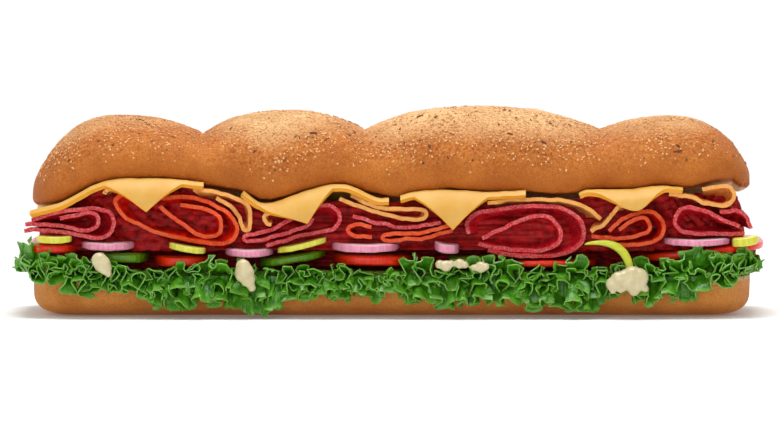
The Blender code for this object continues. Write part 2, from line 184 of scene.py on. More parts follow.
def face_out(piece: bpy.types.Object) -> None:
    """Turns every face outwards.

    Args:
        piece: the object.
    """
    deselect()
    piece.select_set(True)
    bpy.context.view_layer.objects.active = piece
    bpy.ops.object.mode_set(mode="EDIT")
    bpy.ops.mesh.select_all(action="SELECT")
    bpy.ops.mesh.normals_make_consistent(inside=False)
    bpy.ops.object.mode_set(mode="OBJECT")


def sheet_of(
    name: str,
    columns: int,
    rows: int,
    shape: Callable[[Array, Array], tuple[Array, Array, Array]],
    thick: float,
    marks: dict[str, Callable[[Array, Array], Array]],
    bumps: tuple[float, float] | None = None,
    wrap: bool = False,
) -> bpy.types.Object:
    """Makes a slice or leaf: a grid laid out by a formula and given a thickness.

    Args:
        name: the object's name.
        columns, rows: how finely it is divided.
        shape: turns the shares along and across into x, y and z in millimetres.
        thick: the thickness in millimetres.
        marks: numbers to keep for each point, worked out from the same shares.
        bumps: how wide and how deep its blisters are, in millimetres.
        wrap: whether its two ends meet and are sewn together.

    Returns:
        The closed object.
    """
    deselect()
    bpy.ops.mesh.primitive_grid_add(x_subdivisions=columns, y_subdivisions=rows, size=1.0)
    piece = bpy.context.object
    piece.name = name
    shares = read_points(piece)
    along, across = shares[:, 0] + 0.5, shares[:, 1] + 0.5
    move_points(piece, np.stack(shape(along, across), axis=1))
    for key, mark in marks.items():
        note(piece, key, mark(along, across))
    if wrap:
        bpy.ops.object.mode_set(mode="EDIT")
        bpy.ops.mesh.select_all(action="SELECT")
        bpy.ops.mesh.remove_doubles(threshold=0.02 * MM)
        bpy.ops.object.mode_set(mode="OBJECT")
    if bumps:
        texture = bpy.data.textures.new(name + "_blisters", "CLOUDS")
        texture.noise_scale, texture.noise_depth = bumps[0] * MM, 1
        apply_modifier(
            piece, "DISPLACE", texture=texture, strength=bumps[1] * MM, mid_level=0.5, texture_coords="LOCAL"
        )
    apply_modifier(piece, "SOLIDIFY", thickness=thick * MM, offset=0.0, use_quality_normals=True)
    face_out(piece)
    bpy.ops.object.shade_smooth_by_angle(angle=radians(50))
    return piece


def join(pieces: Sequence[bpy.types.Object], name: str) -> bpy.types.Object:
    """Makes several objects one.

    Args:
        pieces: the objects.
        name: the joined object's name.

    Returns:
        The joined object.
    """
    deselect()
    for piece in pieces:
        piece.select_set(True)
    bpy.context.view_layer.objects.active = pieces[0]
    if len(pieces) > 1:
        bpy.ops.object.join()
    pieces[0].name = name
    return pieces[0]


def scatter(name: str, template: Array, faces: Array, places: Array) -> bpy.types.Object:
    """Joins many copies of one small shape.

    Args:
        name: the object's name.
        template: the small shape's points.
        faces: its triangles.
        places: for each copy, a matrix of 3 by 3 followed by its place as the fourth column.

    Returns:
        The joined object.
    """
    turned = np.einsum("nij,pj->npi", places[:, :, :3], template) + places[:, None, :, 3]
    indices = faces[None] + (np.arange(len(places)) * len(template))[:, None, None]
    mesh = bpy.data.meshes.new(name)
    mesh.from_pydata((turned.reshape(-1, 3) * MM).tolist(), [], indices.reshape(-1, 3).tolist())
    piece = bpy.data.objects.new(name, mesh)
    bpy.context.scene.collection.objects.link(piece)
    mesh.shade_smooth()
    return piece


def grain_shape() -> tuple[Array, Array]:
    """Makes a grain: a small rounded lump of twenty triangles.

    Returns:
        Its points and its triangles.
    """
    deselect()
    bpy.ops.mesh.primitive_ico_sphere_add(subdivisions=1, radius=1.0)
    lump = bpy.context.object
    points = read_points(lump)
    faces = np.array([list(face.vertices) for face in lump.data.polygons])
    bpy.data.objects.remove(lump, do_unlink=True)
    return points, faces


# Finishes


class Blend(Enum):
    """How a colour is laid over another."""

    PLAIN = "MIX"
    MULTIPLY = "MULTIPLY"
    SCREEN = "SCREEN"
    OVERLAY = "OVERLAY"


class Paint:
    """A Principled material that is put together in plain steps."""

    def __init__(self, name: str, rough: float, **sockets: float) -> None:
        """Starts the material.

        Args:
            name: the material's name.
            rough: the shader's roughness.
            sockets: other uniform shader values, with _ for each space.
        """
        self.material = bpy.data.materials.new(name)
        self.material.use_nodes = True
        self.nodes = self.material.node_tree.nodes
        self.links = self.material.node_tree.links
        self.shader = self.nodes["Principled BSDF"]
        self.shader.inputs["Roughness"].default_value = rough
        for key, value in sockets.items():
            self.shader.inputs[key.replace("_", " ")].default_value = value
        self.height = None

    def object_place(self, stretch: tuple[float, float, float] = (1, 1, 1)) -> bpy.types.NodeSocket:
        """Gives the object's own coordinates, stretched.

        Args:
            stretch: how much finer the pattern gets along each axis.

        Returns:
            The coordinates.
        """
        place = self.nodes.new("ShaderNodeTexCoord")
        mapping = self.nodes.new("ShaderNodeMapping")
        mapping.inputs["Scale"].default_value = stretch
        self.links.new(place.outputs["Object"], mapping.inputs["Vector"])
        return mapping.outputs["Vector"]

    def mark(self, name: str) -> bpy.types.NodeSocket:
        """Reads a number that was kept for each point.

        Args:
            name: what the number is called.

        Returns:
            The number.
        """
        read = self.nodes.new("ShaderNodeAttribute")
        read.attribute_name = name
        return read.outputs["Fac"]

    def noise(
        self, size: float, detail: float = 3, rough: float = 0.6, **stretch: tuple
    ) -> bpy.types.NodeSocket:
        """A soft random pattern.

        Args:
            size: how wide its blotches are, in millimetres.
            detail, rough: how much finer noise it holds.
            stretch: passed on to object_place.

        Returns:
            The pattern, from 0 to 1.
        """
        made = self.nodes.new("ShaderNodeTexNoise")
        made.inputs["Scale"].default_value = 1 / (size * MM)
        made.inputs["Detail"].default_value = detail
        made.inputs["Roughness"].default_value = rough
        self.links.new(self.object_place(**stretch), made.inputs["Vector"])
        return made.outputs["Fac"]

    def ramp(self, value: bpy.types.NodeSocket, *stops: tuple[float, tuple]) -> bpy.types.NodeSocket:
        """Turns a number into a colour.

        Args:
            value: the number.
            stops: where each colour sits, and the colour.

        Returns:
            The colour.
        """
        made = self.nodes.new("ShaderNodeValToRGB")
        band = made.color_ramp
        while len(band.elements) < len(stops):
            band.elements.new(0.5)
        for element, (place, colour) in zip(band.elements, stops):
            element.position = place
            element.color = colour
        self.links.new(value, made.inputs["Fac"])
        return made.outputs["Color"]

    def step(self, value: bpy.types.NodeSocket, low: float, high: float) -> bpy.types.NodeSocket:
        """Stretches a number so that low becomes 0 and high becomes 1.

        Args:
            value: the number.
            low, high: the stretch that counts.

        Returns:
            The stretched number.
        """
        made = self.nodes.new("ShaderNodeMapRange")
        made.inputs["From Min"].default_value = low
        made.inputs["From Max"].default_value = high
        self.links.new(value, made.inputs["Value"])
        return made.outputs["Result"]

    def times(
        self, first: bpy.types.NodeSocket, second: bpy.types.NodeSocket | float
    ) -> bpy.types.NodeSocket:
        """Multiplies two numbers.

        Args:
            first, second: the numbers.

        Returns:
            Their product.
        """
        made = self.nodes.new("ShaderNodeMath")
        made.operation = "MULTIPLY"
        self.links.new(first, made.inputs[0])
        if isinstance(second, bpy.types.NodeSocket):
            self.links.new(second, made.inputs[1])
        else:
            made.inputs[1].default_value = second
        return made.outputs[0]

    def mix(
        self,
        under: bpy.types.NodeSocket | tuple,
        over: bpy.types.NodeSocket | tuple,
        share: bpy.types.NodeSocket | float,
        how: Blend = Blend.PLAIN,
    ) -> bpy.types.NodeSocket:
        """Lays one colour over another.

        Args:
            under, over: the colours.
            share: how much of the upper one shows.
            how: the way it is laid.

        Returns:
            The mixed colour.
        """
        made = self.nodes.new("ShaderNodeMix")
        made.data_type = "RGBA"
        made.blend_type = how.value
        for socket, value in ((made.inputs[0], share), (made.inputs[6], under), (made.inputs[7], over)):
            if isinstance(value, bpy.types.NodeSocket):
                self.links.new(value, socket)
            else:
                socket.default_value = value
        return made.outputs[2]

    def relief(self, height: bpy.types.NodeSocket, depth: float, strength: float = 1.0) -> None:
        """Adds fine relief.

        Args:
            height: the pattern, white being high.
            depth: how deep it is, in millimetres.
            strength: how strongly it shows.
        """
        made = self.nodes.new("ShaderNodeBump")
        made.inputs["Distance"].default_value = depth * MM
        made.inputs["Strength"].default_value = strength
        self.links.new(height, made.inputs["Height"])
        if self.height is not None:
            self.links.new(self.height, made.inputs["Normal"])
        self.height = made.outputs["Normal"]

    def done(self, colour: bpy.types.NodeSocket | tuple) -> bpy.types.Material:
        """Ends the material.

        Args:
            colour: its base colour.

        Returns:
            The material.
        """
        if isinstance(colour, bpy.types.NodeSocket):
            self.links.new(colour, self.shader.inputs["Base Color"])
        else:
            self.shader.inputs["Base Color"].default_value = colour
        if self.height is not None:
            self.links.new(self.height, self.shader.inputs["Normal"])
        return self.material


WHITE = tone(255, 255, 255)


@dataclass(frozen=True)
class CrustFinish:
    """Baked crust: grainy on top and smooth near the cut, with painted light making it pale and golden on top
    and painted shade making it deeper coloured near the cut.
    """

    # low, middle and high follow the rise up the crust: painted shade near the cut, painted light towards the
    # top.
    low: tuple = tone(190, 108, 32)
    middle: tuple = tone(200, 122, 46)
    high: tuple = tone(236, 196, 142)
    crumb: tuple = tone(240, 216, 170)
    burnt: tuple = tone(96, 54, 26)
    grain: float = 1.0

    def make(self, name: str) -> bpy.types.Material:
        """Makes the material.

        Args:
            name: its name.

        Returns:
            The material.
        """
        paint = Paint(name, 0.72, Specular_IOR_Level=0.25)
        rise = paint.mark("rise")
        # Painted light and shade: the crust's colour goes from low near the cut to high on top.
        base = paint.ramp(rise, (0.0, self.low), (0.62, self.middle), (1.0, self.high))
        patches = paint.ramp(paint.noise(15, 4, 0.6), (0.32, tone(220, 200, 178)), (0.68, WHITE))
        base = paint.mix(base, patches, 0.8, Blend.MULTIPLY)
        grains = paint.noise(1.2, 3, 0.7)
        sparse = paint.times(paint.step(rise, 0.1, 0.6), self.grain)
        pits = paint.ramp(grains, (0.36, tone(204, 172, 142)), (0.5, WHITE))
        base = paint.mix(base, pits, sparse, Blend.MULTIPLY)
        pale = paint.times(paint.step(grains, 0.54, 0.7), sparse)
        base = paint.mix(base, self.high, paint.times(pale, 0.3))
        fine = paint.noise(0.5, 2, 0.6)
        pores = paint.ramp(fine, (0.34, tone(206, 186, 164)), (0.6, WHITE))
        base = paint.mix(base, pores, 0.6, Blend.MULTIPLY)
        spots = paint.noise(2.0, 2, 0.5, stretch=(1.5, 1.5, 0.6))
        flecks = paint.times(paint.step(spots, 0.71, 0.77), sparse)
        base = paint.mix(base, self.burnt, paint.times(flecks, 0.8))
        base = paint.mix(base, self.crumb, paint.mark("cut"))
        paint.relief(grains, 0.5 * self.grain + 0.12, 0.9)
        paint.relief(fine, 0.2, 0.6)
        return paint.done(base)


@dataclass(frozen=True)
class MeatFinish:
    """A cured or cooked slice: its own colour, darkened with painted shade deeper inside the loaf, and paler
    and marbled along its cut edge.
    """

    wall: tuple
    # deep is the darker tone of the meat's mottle, and also the painted shade deep inside the loaf.
    deep: tuple
    edge: tuple
    fat: tuple
    marbling: float
    rough: float = 0.38

    def make(self, name: str) -> bpy.types.Material:
        """Makes the material.

        Args:
            name: its name.

        Returns:
            The material.
        """
        paint = Paint(name, self.rough, Specular_IOR_Level=0.22)
        mottle = paint.noise(3.2, 4, 0.65)
        base = paint.mix(self.deep, self.wall, paint.step(mottle, 0.3, 0.62))
        # Painted shade: the slice darkens towards deep the further its point lies inside the loaf.
        base = paint.mix(base, self.deep, paint.times(paint.mark("depth"), 0.85))
        fat = paint.step(paint.noise(0.85, 3, 0.7), 0.55, 0.66)
        base = paint.mix(base, self.fat, paint.times(fat, 0.16 * self.marbling))
        patches = paint.step(paint.noise(7.0, 3, 0.6), 0.42, 0.7)
        tint = paint.mix(self.edge, self.wall, paint.times(patches, 0.6))
        veins = paint.step(paint.noise(0.75, 3, 0.75), 0.46, 0.66)
        rim = paint.mix(tint, self.fat, paint.times(veins, self.marbling))
        base = paint.mix(base, rim, paint.mark("rim"))
        paint.relief(paint.noise(0.8, 3, 0.7), 0.12, 0.7)
        paint.relief(mottle, 0.3, 0.5)
        return paint.done(base)


@dataclass(frozen=True)
class WetFinish:
    """A cut vegetable: its flesh, and its skin round the rim."""

    flesh: tuple
    skin: tuple
    streak: tuple
    streaks: float
    rough: float
    stretch: tuple = (1.0, 1.0, 0.12)
    glow: float = 0.0

    def make(self, name: str) -> bpy.types.Material:
        """Makes the material.

        Args:
            name: its name.

        Returns:
            The material.
        """
        paint = Paint(name, self.rough, Specular_IOR_Level=0.28, Coat_Weight=0.08, Coat_Roughness=0.12)
        paint.shader.inputs["Subsurface Weight"].default_value = self.glow
        paint.shader.inputs["Subsurface Radius"].default_value = (1.0, 0.7, 0.4)
        paint.shader.inputs["Subsurface Scale"].default_value = 1.5 * MM
        lines = paint.noise(1.1, 3, 0.6, stretch=self.stretch)
        skin = paint.mix(self.skin, self.streak, paint.times(paint.step(lines, 0.42, 0.66), self.streaks))
        spots = paint.step(paint.noise(2.6, 3, 0.6), 0.4, 0.7)
        flesh = paint.mix(self.flesh, self.streak, paint.times(spots, 0.3))
        base = paint.mix(flesh, skin, paint.mark("skin"))
        paint.relief(lines, 0.16, 0.6)
        paint.relief(paint.noise(2.2, 3, 0.5), 0.25, 0.4)
        return paint.done(base)


@dataclass(frozen=True)
class LeafFinish:
    """Lettuce: deep green in random patches, light along its edge, pale towards its stem."""

    body: tuple = tone(74, 146, 14)
    deep: tuple = tone(36, 100, 4)
    edge: tuple = tone(132, 190, 66)
    light: tuple = tone(98, 168, 50)
    stem: tuple = tone(176, 190, 104)

    def make(self, name: str) -> bpy.types.Material:
        """Makes the material.

        Args:
            name: its name.

        Returns:
            The material.
        """
        paint = Paint(name, 0.34, Specular_IOR_Level=0.5, Coat_Weight=0.15, Coat_Roughness=0.25)
        patches = paint.noise(6.0, 4, 0.6)
        base = paint.mix(self.deep, self.body, paint.step(patches, 0.34, 0.6))
        light = paint.step(paint.noise(2.4, 3, 0.6), 0.5, 0.72)
        base = paint.mix(base, self.light, paint.times(light, 0.6))
        base = paint.mix(base, self.stem, paint.times(paint.mark("stem"), 0.75))
        base = paint.mix(base, self.edge, paint.mark("rim"))
        paint.relief(paint.noise(1.7, 4, 0.6), 0.45, 0.7)
        return paint.done(base)


@dataclass(frozen=True)
class PlainFinish:
    """A finish of one colour with a faint mottle."""

    colour: tuple
    light: tuple
    rough: float
    mottle: float = 6.0
    depth: float = 0.15
    coat: float = 0.0
    edge: tuple | None = None

    def make(self, name: str) -> bpy.types.Material:
        """Makes the material.

        Args:
            name: its name.

        Returns:
            The material.
        """
        paint = Paint(name, self.rough, Coat_Weight=self.coat, Coat_Roughness=0.15)
        pattern = paint.noise(self.mottle, 4, 0.6)
        base = paint.mix(self.colour, self.light, paint.step(pattern, 0.34, 0.68))
        if self.edge:
            # Where given, the edge colour runs along the rim mark: on the cheese it is a painted glow of
            # light through the slice's edge.
            base = paint.mix(base, self.edge, paint.mark("rim"))
        paint.relief(paint.noise(1.2, 3, 0.6), self.depth, 0.6)
        return paint.done(base)


CRUST = CrustFinish()
# The heel's crust is a paler copy of the crown's: painted light that brightens the heel where it sits in
# shade by the table.
HEEL_CRUST = CrustFinish(
    low=tone(220, 144, 66), middle=tone(226, 152, 74), high=tone(228, 158, 84), grain=0.3
)
TURKEY = MeatFinish(
    tone(232, 156, 80), tone(196, 112, 48), tone(232, 160, 78), tone(246, 206, 140), 0.3, 0.42
)
SALAMI = MeatFinish(tone(206, 18, 36), tone(104, 1, 8), tone(196, 46, 58), tone(232, 158, 148), 0.62)
PEPPERONI = MeatFinish(tone(214, 18, 8), tone(92, 1, 2), tone(222, 76, 30), tone(236, 134, 78), 0.5, 0.36)
PRESSED = MeatFinish(tone(196, 22, 24), tone(88, 2, 4), tone(190, 60, 60), tone(214, 96, 84), 0.5, 0.6)
ONION = WetFinish(tone(250, 236, 240), tone(232, 152, 178), tone(192, 92, 132), 0.6, 0.26, glow=0.12)
PICKLE = WetFinish(tone(222, 214, 96), tone(204, 202, 48), tone(232, 226, 130), 0.5, 0.24, glow=0.12)
PEPPER = WetFinish(
    tone(214, 212, 96), tone(190, 196, 44), tone(220, 218, 104), 0.4, 0.22, (0.3, 1.0, 1.0), 0.1
)
TOMATO = WetFinish(tone(232, 52, 12), tone(228, 30, 2), tone(236, 84, 20), 0.3, 0.24, glow=0.05)
CUCUMBER = WetFinish(tone(160, 190, 66), tone(72, 128, 6), tone(128, 170, 28), 0.6, 0.28, glow=0.05)
# The cheese's more saturated edge colour is a painted glow of light through the thin slice.
CHEESE = PlainFinish(tone(210, 154, 56), tone(214, 167, 78), 0.5, 9.0, 0.05, 0.0, tone(222, 150, 20))
SAUCE = PlainFinish(tone(196, 182, 136), tone(208, 196, 156), 0.25, 3.0, 0.1, 0.3)
MEAL = PlainFinish(tone(210, 150, 88), tone(226, 178, 122), 0.75, 3.0, 0.05)
FLECK = PlainFinish(tone(88, 46, 20), tone(128, 74, 36), 0.8, 2.0, 0.05)


@dataclass
class Finishes:
    """Makes each material once and lends it out."""

    made: dict[str, bpy.types.Material] = field(default_factory=dict)

    def dress(self, piece: bpy.types.Object, name: str, finish: object, slot: str, *nodes: str) -> None:
        """Gives a piece its material and place in the frame.

        Args:
            piece: the object.
            name: the material's name.
            finish: what it is made by.
            slot: the record's material slot; not used.
            nodes: the frame nodes that the piece stands for.
        """
        if name not in self.made:
            self.made[name] = finish.make(name)
        piece.data.materials.clear()
        piece.data.materials.append(self.made[name])
        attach(piece, "root")
        if nodes:
            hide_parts(*nodes)
        log.info("%s: %d faces, %s", piece.name, len(piece.data.polygons), name)


# The squeeze that all the fillings share


@dataclass(frozen=True)
class Press:
    """How the loaf presses its fillings: full height at the mouths, less in the middle."""

    base: float = 31.0
    middle: float = 0.62
    end: float = 157.0

    def keep(self, y: Array) -> Array:
        """Gives the share of its height that a layer keeps.

        Args:
            y: where, before the corners are rounded.

        Returns:
            The share.
        """
        half = span("bread_top")[1][1]
        return self.middle + (1 - self.middle) * smooth(4.0, half - 1.0, np.abs(y)) ** 1.25

    def height(self, z: Array, y: Array) -> Array:
        """Gives a filling's height from its height at the mouth.

        Args:
            z: its height at the mouth.
            y: where it is read.

        Returns:
            The height.
        """
        return self.base + (z - self.base) * self.keep(y)

    def corner(self, x: Array) -> Array:
        """Gives the share of its width that the filling keeps near the ends.

        Args:
            x: where along the loaf.

        Returns:
            The share.
        """
        share = np.clip(1 - (self.end - np.abs(x)) / 34.0, 0, 1)
        return 1 - 0.24 * share * share


PRESS = Press()


# The loaf


@dataclass
class Loaf:
    """The two halves of the roll, with the meal and flecks baked onto the upper one."""

    lobes: tuple = ((-113.4, 82.9), (-43.2, 85.0), (36.4, 86.7), (120.9, 82.7))
    valleys: tuple = ((-78.1, 75.2), (-9.5, 76.8), (89.0, 77.0))
    roof: tuple = (
        (-150.5, 46.6), (-141.0, 48.0), (-134.5, 50.0), (-128.5, 53.6), (-121.5, 57.0), (-113.5, 59.0),
        (-92.0, 59.4), (-83.0, 58.0), (-76.0, 56.0), (-62.0, 54.2), (-53.6, 50.4), (-48.6, 50.0),
        (-39.0, 52.8), (-31.8, 55.2), (-25.1, 57.0), (-19.4, 57.3), (-14.6, 56.0), (-9.1, 53.4),
        (-1.0, 51.6), (4.0, 51.4), (9.8, 53.4), (25.0, 54.8), (41.0, 53.9), (58.0, 53.8),
        (68.0, 52.4), (78.0, 53.4),
        (82.8, 54.6), (103.7, 55.2), (111.7, 56.4), (122.6, 55.6), (136.0, 57.4), (143.5, 57.2),
        (147.0, 53.4), (153.0, 50.0),
    )
    tip_lift: tuple = (7.5, 2.5)
    seed: int = 11
    around: int = 176
    along: int = 540
    crown: bpy.types.Object | None = None
    heel: bpy.types.Object | None = None
    meal: bpy.types.Object | None = None
    flecks: bpy.types.Object | None = None

    def ridge(self, x: Array) -> Array:
        """Gives the height of the loaf's ridge: four lobes with tight valleys.

        Args:
            x: where along the loaf.

        Returns:
            The height.
        """
        low, high = span("bread_top")
        dips = [(low[0], 74.0), *self.valleys, (high[0], 74.0)]
        height = np.zeros_like(x)
        for (x0, z0), (x1, top), (x2, z2) in zip(dips, self.lobes, dips[1:]):
            left, right = (x >= x0 - 1) & (x < x1), (x >= x1) & (x <= x2 + 1)
            height[left] = top - (top - z0) * np.clip((x1 - x[left]) / (x1 - x0), 0, 1) ** 2.3
            height[right] = top - (top - z2) * np.clip((x[right] - x1) / (x2 - x1), 0, 1) ** 2.3
        return height

    def station(self, share: Array, reach: float) -> tuple[Array, Array]:
        """Spreads rings along the loaf, closer at its round ends.

        Args:
            share: from 0 at the left end to 1 at the right.
            reach: how long each round end is.

        Returns:
            Where each ring is, and how far it lies within its end, from 0 to 1 at the tip.
        """
        low, high = span("bread_top")
        zone = 0.14
        x = low[0] + reach + (high[0] - low[0] - 2 * reach) * (share - zone) / (1 - 2 * zone)
        tip = np.zeros_like(share)
        for near, sign, edge in ((share, 1, low[0]), (1 - share, -1, high[0])):
            inside = near < zone
            tip[inside] = np.cos(near[inside] / zone * np.pi / 2)
            x[inside] = edge + sign * reach * (1 - tip[inside])
        return x, tip

    def crown_points(self, share: Array, turn: Array) -> tuple[Array, Array, Array]:
        """Lays out the upper half.

        Args:
            share: from 0 at the left end to 1 at the right.
            turn: from 0 to 1 around, starting under the front rim and going over the top.

        Returns:
            The points, how high each lies on the crust from 0 to 1, and which are on the cut face.
        """
        x, tip = self.station(share, 36.0)
        half = span("bread_top")[1][1]
        grow = (1 - tip**2.25) ** (1 / 2.25)
        broad = (1 - tip**2.9) ** (1 / 2.9)
        rim = np.interp(x, *zip(*self.roof)) - 0.7 + 0.25 * ripple(x / 60, 3)
        pinch = sum(np.exp(-(((x - place) / 9.0) ** 2)) for place, _ in self.valleys)
        width = (half - 1.1 * pinch) * broad
        rim = rim + np.where(x > 0, *self.tip_lift) * (1 - grow)
        centre = rim + 4.2 * grow
        tall = (self.ridge(x) - rim - 4.2) * grow
        outer = turn < 0.82
        tuck = 0.36
        angle = np.where(outer, -tuck + (np.pi + 2 * tuck) * turn / 0.82, 0)
        swing, lift = np.cos(angle), np.sin(angle)
        y = -width * np.sign(swing) * np.abs(swing) ** 0.9
        z = centre + np.where(lift > 0, tall * np.abs(lift) ** 0.86, 4.2 * grow * lift / np.sin(tuck))
        back = (turn - 0.82) / 0.18
        rim_y = width * np.cos(tuck) ** 0.9 - 0.6 * grow
        under_y = rim_y * (1 - 2 * np.clip(back, 0, 1))
        dish = PRESS.height(rim, under_y / PRESS.corner(x)) - rim
        y = np.where(outer, y, under_y)
        z = np.where(outer, z, rim + dish * grow)
        rise = np.where(outer, np.clip((z - rim) / 30.0, 0, 1), 0.05)
        points = np.stack([x, y, z], axis=1)
        inward = np.clip(np.minimum(back, 1 - back), 0, 1)
        return points, rise, smooth(0.06, 0.16, inward) * smooth(0.3, 0.6, grow)

    def heel_points(self, share: Array, turn: Array) -> tuple[Array, Array, Array]:
        """Lays out the lower half.

        Args:
            share: from 0 at the left end to 1 at the right.
            turn: from 0 to 1 around, starting at the front rim and going under.

        Returns:
            The points, how high each lies on the crust, and which are on the cut face.
        """
        x, tip = self.station(share, 30.0)
        low, high = span("bread_bottom")
        broad = (1 - tip**2.6) ** (1 / 2.6)
        width = high[1] * broad * (1 + 0.006 * ripple(x / 70, 5))
        outer = turn < 0.78
        angle = turn / 0.78 * np.pi
        y = -width * np.sign(np.cos(angle)) * np.abs(np.cos(angle)) ** 0.42
        sink = np.abs(np.sin(angle)) ** 0.62
        lift = 14.0 * (1 - (1 - tip**3.4) ** (1 / 3.4))
        z = np.maximum(high[2] * (1 - sink), lift)
        back = np.clip((turn - 0.78) / 0.22, 0, 1)
        y = np.where(outer, y, width * (1 - 2 * back))
        z = np.where(outer, z, high[2] + 0.15 * ripple(x / 9 + back, 6))
        rise = np.clip(z / high[2], 0, 1)
        return np.stack([x, y, z], axis=1), rise, (~outer).astype(float)

    def loft(self, name: str, points_of: Callable, around: int, along: int) -> bpy.types.Object:
        """Makes a half of the loaf from a sphere whose poles become its two ends.

        Args:
            name: the object's name.
            points_of: lays out the points.
            around, along: how finely it is divided.

        Returns:
            The object.
        """
        deselect()
        bpy.ops.mesh.primitive_uv_sphere_add(segments=around, ring_count=along, radius=1.0)
        piece = bpy.context.object
        piece.name = name
        ball = read_points(piece)
        share = np.arccos(np.clip(ball[:, 2], -1, 1)) / np.pi
        turn = (np.arctan2(ball[:, 1], ball[:, 0]) / tau) % 1.0
        points, rise, cut = points_of(share, turn)
        move_points(piece, points)
        note(piece, "rise", rise)
        note(piece, "cut", cut)
        group = piece.vertex_groups.new(name="grain")
        weights = np.round(np.clip(rise * 1.5 - 0.1, 0.02, 1) * (1 - cut), 1)
        for weight in np.unique(weights):
            group.add(np.flatnonzero(weights == weight).tolist(), float(weight), "REPLACE")
        face_out(piece)
        bpy.ops.object.shade_smooth()
        return piece

    def roughen(self, piece: bpy.types.Object, size: float, depth: float, grouped: bool) -> None:
        """Raises uneven relief on a piece.

        Args:
            piece: the object.
            size: how wide the lumps are, in millimetres.
            depth: how high they are, in millimetres.
            grouped: whether it stays within the grainy part.
        """
        texture = bpy.data.textures.new(f"{piece.name}_{size}", "CLOUDS")
        texture.noise_scale = size * MM
        texture.noise_depth = 2
        apply_modifier(
            piece, "DISPLACE", texture=texture, strength=depth * MM, mid_level=0.5,
            texture_coords="LOCAL", vertex_group="grain" if grouped else "",
        )

    def surface(self, rng: np.random.Generator, count: int, low: float, high: float) -> tuple[Array, Array]:
        """Picks places on the crown's crust.

        Args:
            rng: where the choices come from.
            count: how many.
            low, high: how high on the crust they may lie.

        Returns:
            The places, and a matrix at each whose last column points outwards.
        """
        tries = count * 12
        share, turn = rng.uniform(0.02, 0.98, tries), rng.uniform(0.03, 0.79, tries)
        here, rise, _ = self.crown_points(share, turn)
        ahead = self.crown_points(share + 0.0005, turn)[0] - here
        round_ = self.crown_points(share, turn + 0.002)[0] - here
        ahead /= np.linalg.norm(ahead, axis=1, keepdims=True)
        out = np.cross(round_, ahead)
        out /= np.linalg.norm(out, axis=1, keepdims=True)
        out *= np.where(np.sum(out * (here - [0, 0, 60]), axis=1) < 0, -1, 1)[:, None]
        wanted = rng.uniform(0, 1, tries) < smooth(low, high, rise)
        kept = np.flatnonzero(wanted)[:count]
        axes = np.stack([ahead, np.cross(out, ahead), out], axis=2)
        return here[kept], axes[kept]

    def strew(self, name: str, count: int, sizes: tuple, low: float, high: float) -> bpy.types.Object:
        """Strews grains over the crust.

        Args:
            name: the object's name.
            count: how many grains.
            sizes: a grain's smallest and largest half width, its length and its height to that width.
            low, high: how high on the crust they lie.

        Returns:
            The grains as one object.
        """
        rng = np.random.default_rng(self.seed + count)
        places, axes = self.surface(rng, count, low, high)
        small, large, stretch, flat = sizes
        size = rng.uniform(small, large, len(places))
        spin = rng.uniform(0, tau, len(places))
        turn = np.zeros((len(places), 3, 3))
        turn[:, 0, 0], turn[:, 0, 1] = np.cos(spin), -np.sin(spin)
        turn[:, 1, 0], turn[:, 1, 1], turn[:, 2, 2] = np.sin(spin), np.cos(spin), 1
        scale = size[:, None] * np.stack([rng.uniform(1, stretch, len(places)), np.ones(len(places)),
                                          np.full(len(places), flat)], axis=1)
        frames = axes @ turn * scale[:, None, :]
        points, faces = grain_shape()
        return scatter(name, points, faces, np.concatenate([frames, places[:, :, None]], axis=2))

    def build(self) -> None:
        """Makes both halves, the meal and the flecks."""
        self.crown = self.loft("crown", self.crown_points, self.around, self.along)
        self.roughen(self.crown, 17.0, 1.5, False)
        self.roughen(self.crown, 4.2, 0.7, True)
        self.roughen(self.crown, 1.5, 0.5, True)
        self.heel = self.loft("heel", self.heel_points, 120, 420)
        self.roughen(self.heel, 20.0, 0.8, True)
        self.roughen(self.heel, 1.6, 0.25, True)
        self.meal = self.strew("crust_meal", 5200, (0.24, 0.55, 1.7, 0.55), 0.15, 0.85)
        self.flecks = self.strew("crust_flecks", 230, (0.3, 0.62, 3.6, 0.5), 0.1, 0.6)

    def dress(self, finishes: Finishes) -> None:
        """Dresses the loaf.

        Args:
            finishes: lends the materials.
        """
        finishes.dress(self.crown, "crust", CRUST, "crust", "bread_top")
        # The heel wears the paler copy of the crust: painted light.
        finishes.dress(self.heel, "heel_crust", HEEL_CRUST, "crust", "bread_bottom")
        finishes.dress(self.meal, "crust_meal", MEAL, "crust")
        finishes.dress(self.flecks, "crust_flecks", FLECK, "crust")


# Folded slices


@dataclass(frozen=True)
class Bend:
    """A round stretch of a fold: part of an ellipse, in degrees from +x towards +z."""

    x: float
    z: float
    rx: float
    rz: float
    start: float
    end: float

    def points(self) -> list[tuple[float, float]]:
        """Gives points along the bend.

        Returns:
            The points.
        """
        count = max(3, round(abs(self.end - self.start) / 30))
        angles = np.radians(np.linspace(self.start, self.end, count + 1))
        return [(self.x + self.rx * float(np.cos(a)), self.z + self.rz * float(np.sin(a))) for a in angles]


def fold_line(steps: Sequence, count: int) -> Array:
    """Draws a fold as a smooth line with evenly spread points.

    Args:
        steps: corner points and bends.
        count: how many points the line gets.

    Returns:
        The line's x and z.
    """
    raw = []
    for step in steps:
        raw.extend(step.points() if isinstance(step, Bend) else [step])
    line = np.array(raw)
    for _ in range(3):
        cut = np.empty((2 * len(line) - 2, 2))
        cut[0::2] = 0.75 * line[:-1] + 0.25 * line[1:]
        cut[1::2] = 0.25 * line[:-1] + 0.75 * line[1:]
        line = np.vstack([line[:1], cut, line[-1:]])
    length = np.concatenate([[0], np.cumsum(np.linalg.norm(np.diff(line, axis=0), axis=1))])
    even = np.linspace(0, length[-1], count)
    return np.stack([np.interp(even, length, line[:, 0]), np.interp(even, length, line[:, 1])], axis=1)


class Meat(Enum):
    """The kinds of sliced meat."""

    SALAMI = "salami"
    PEPPERONI = "pepperoni"
    TURKEY = "turkey"


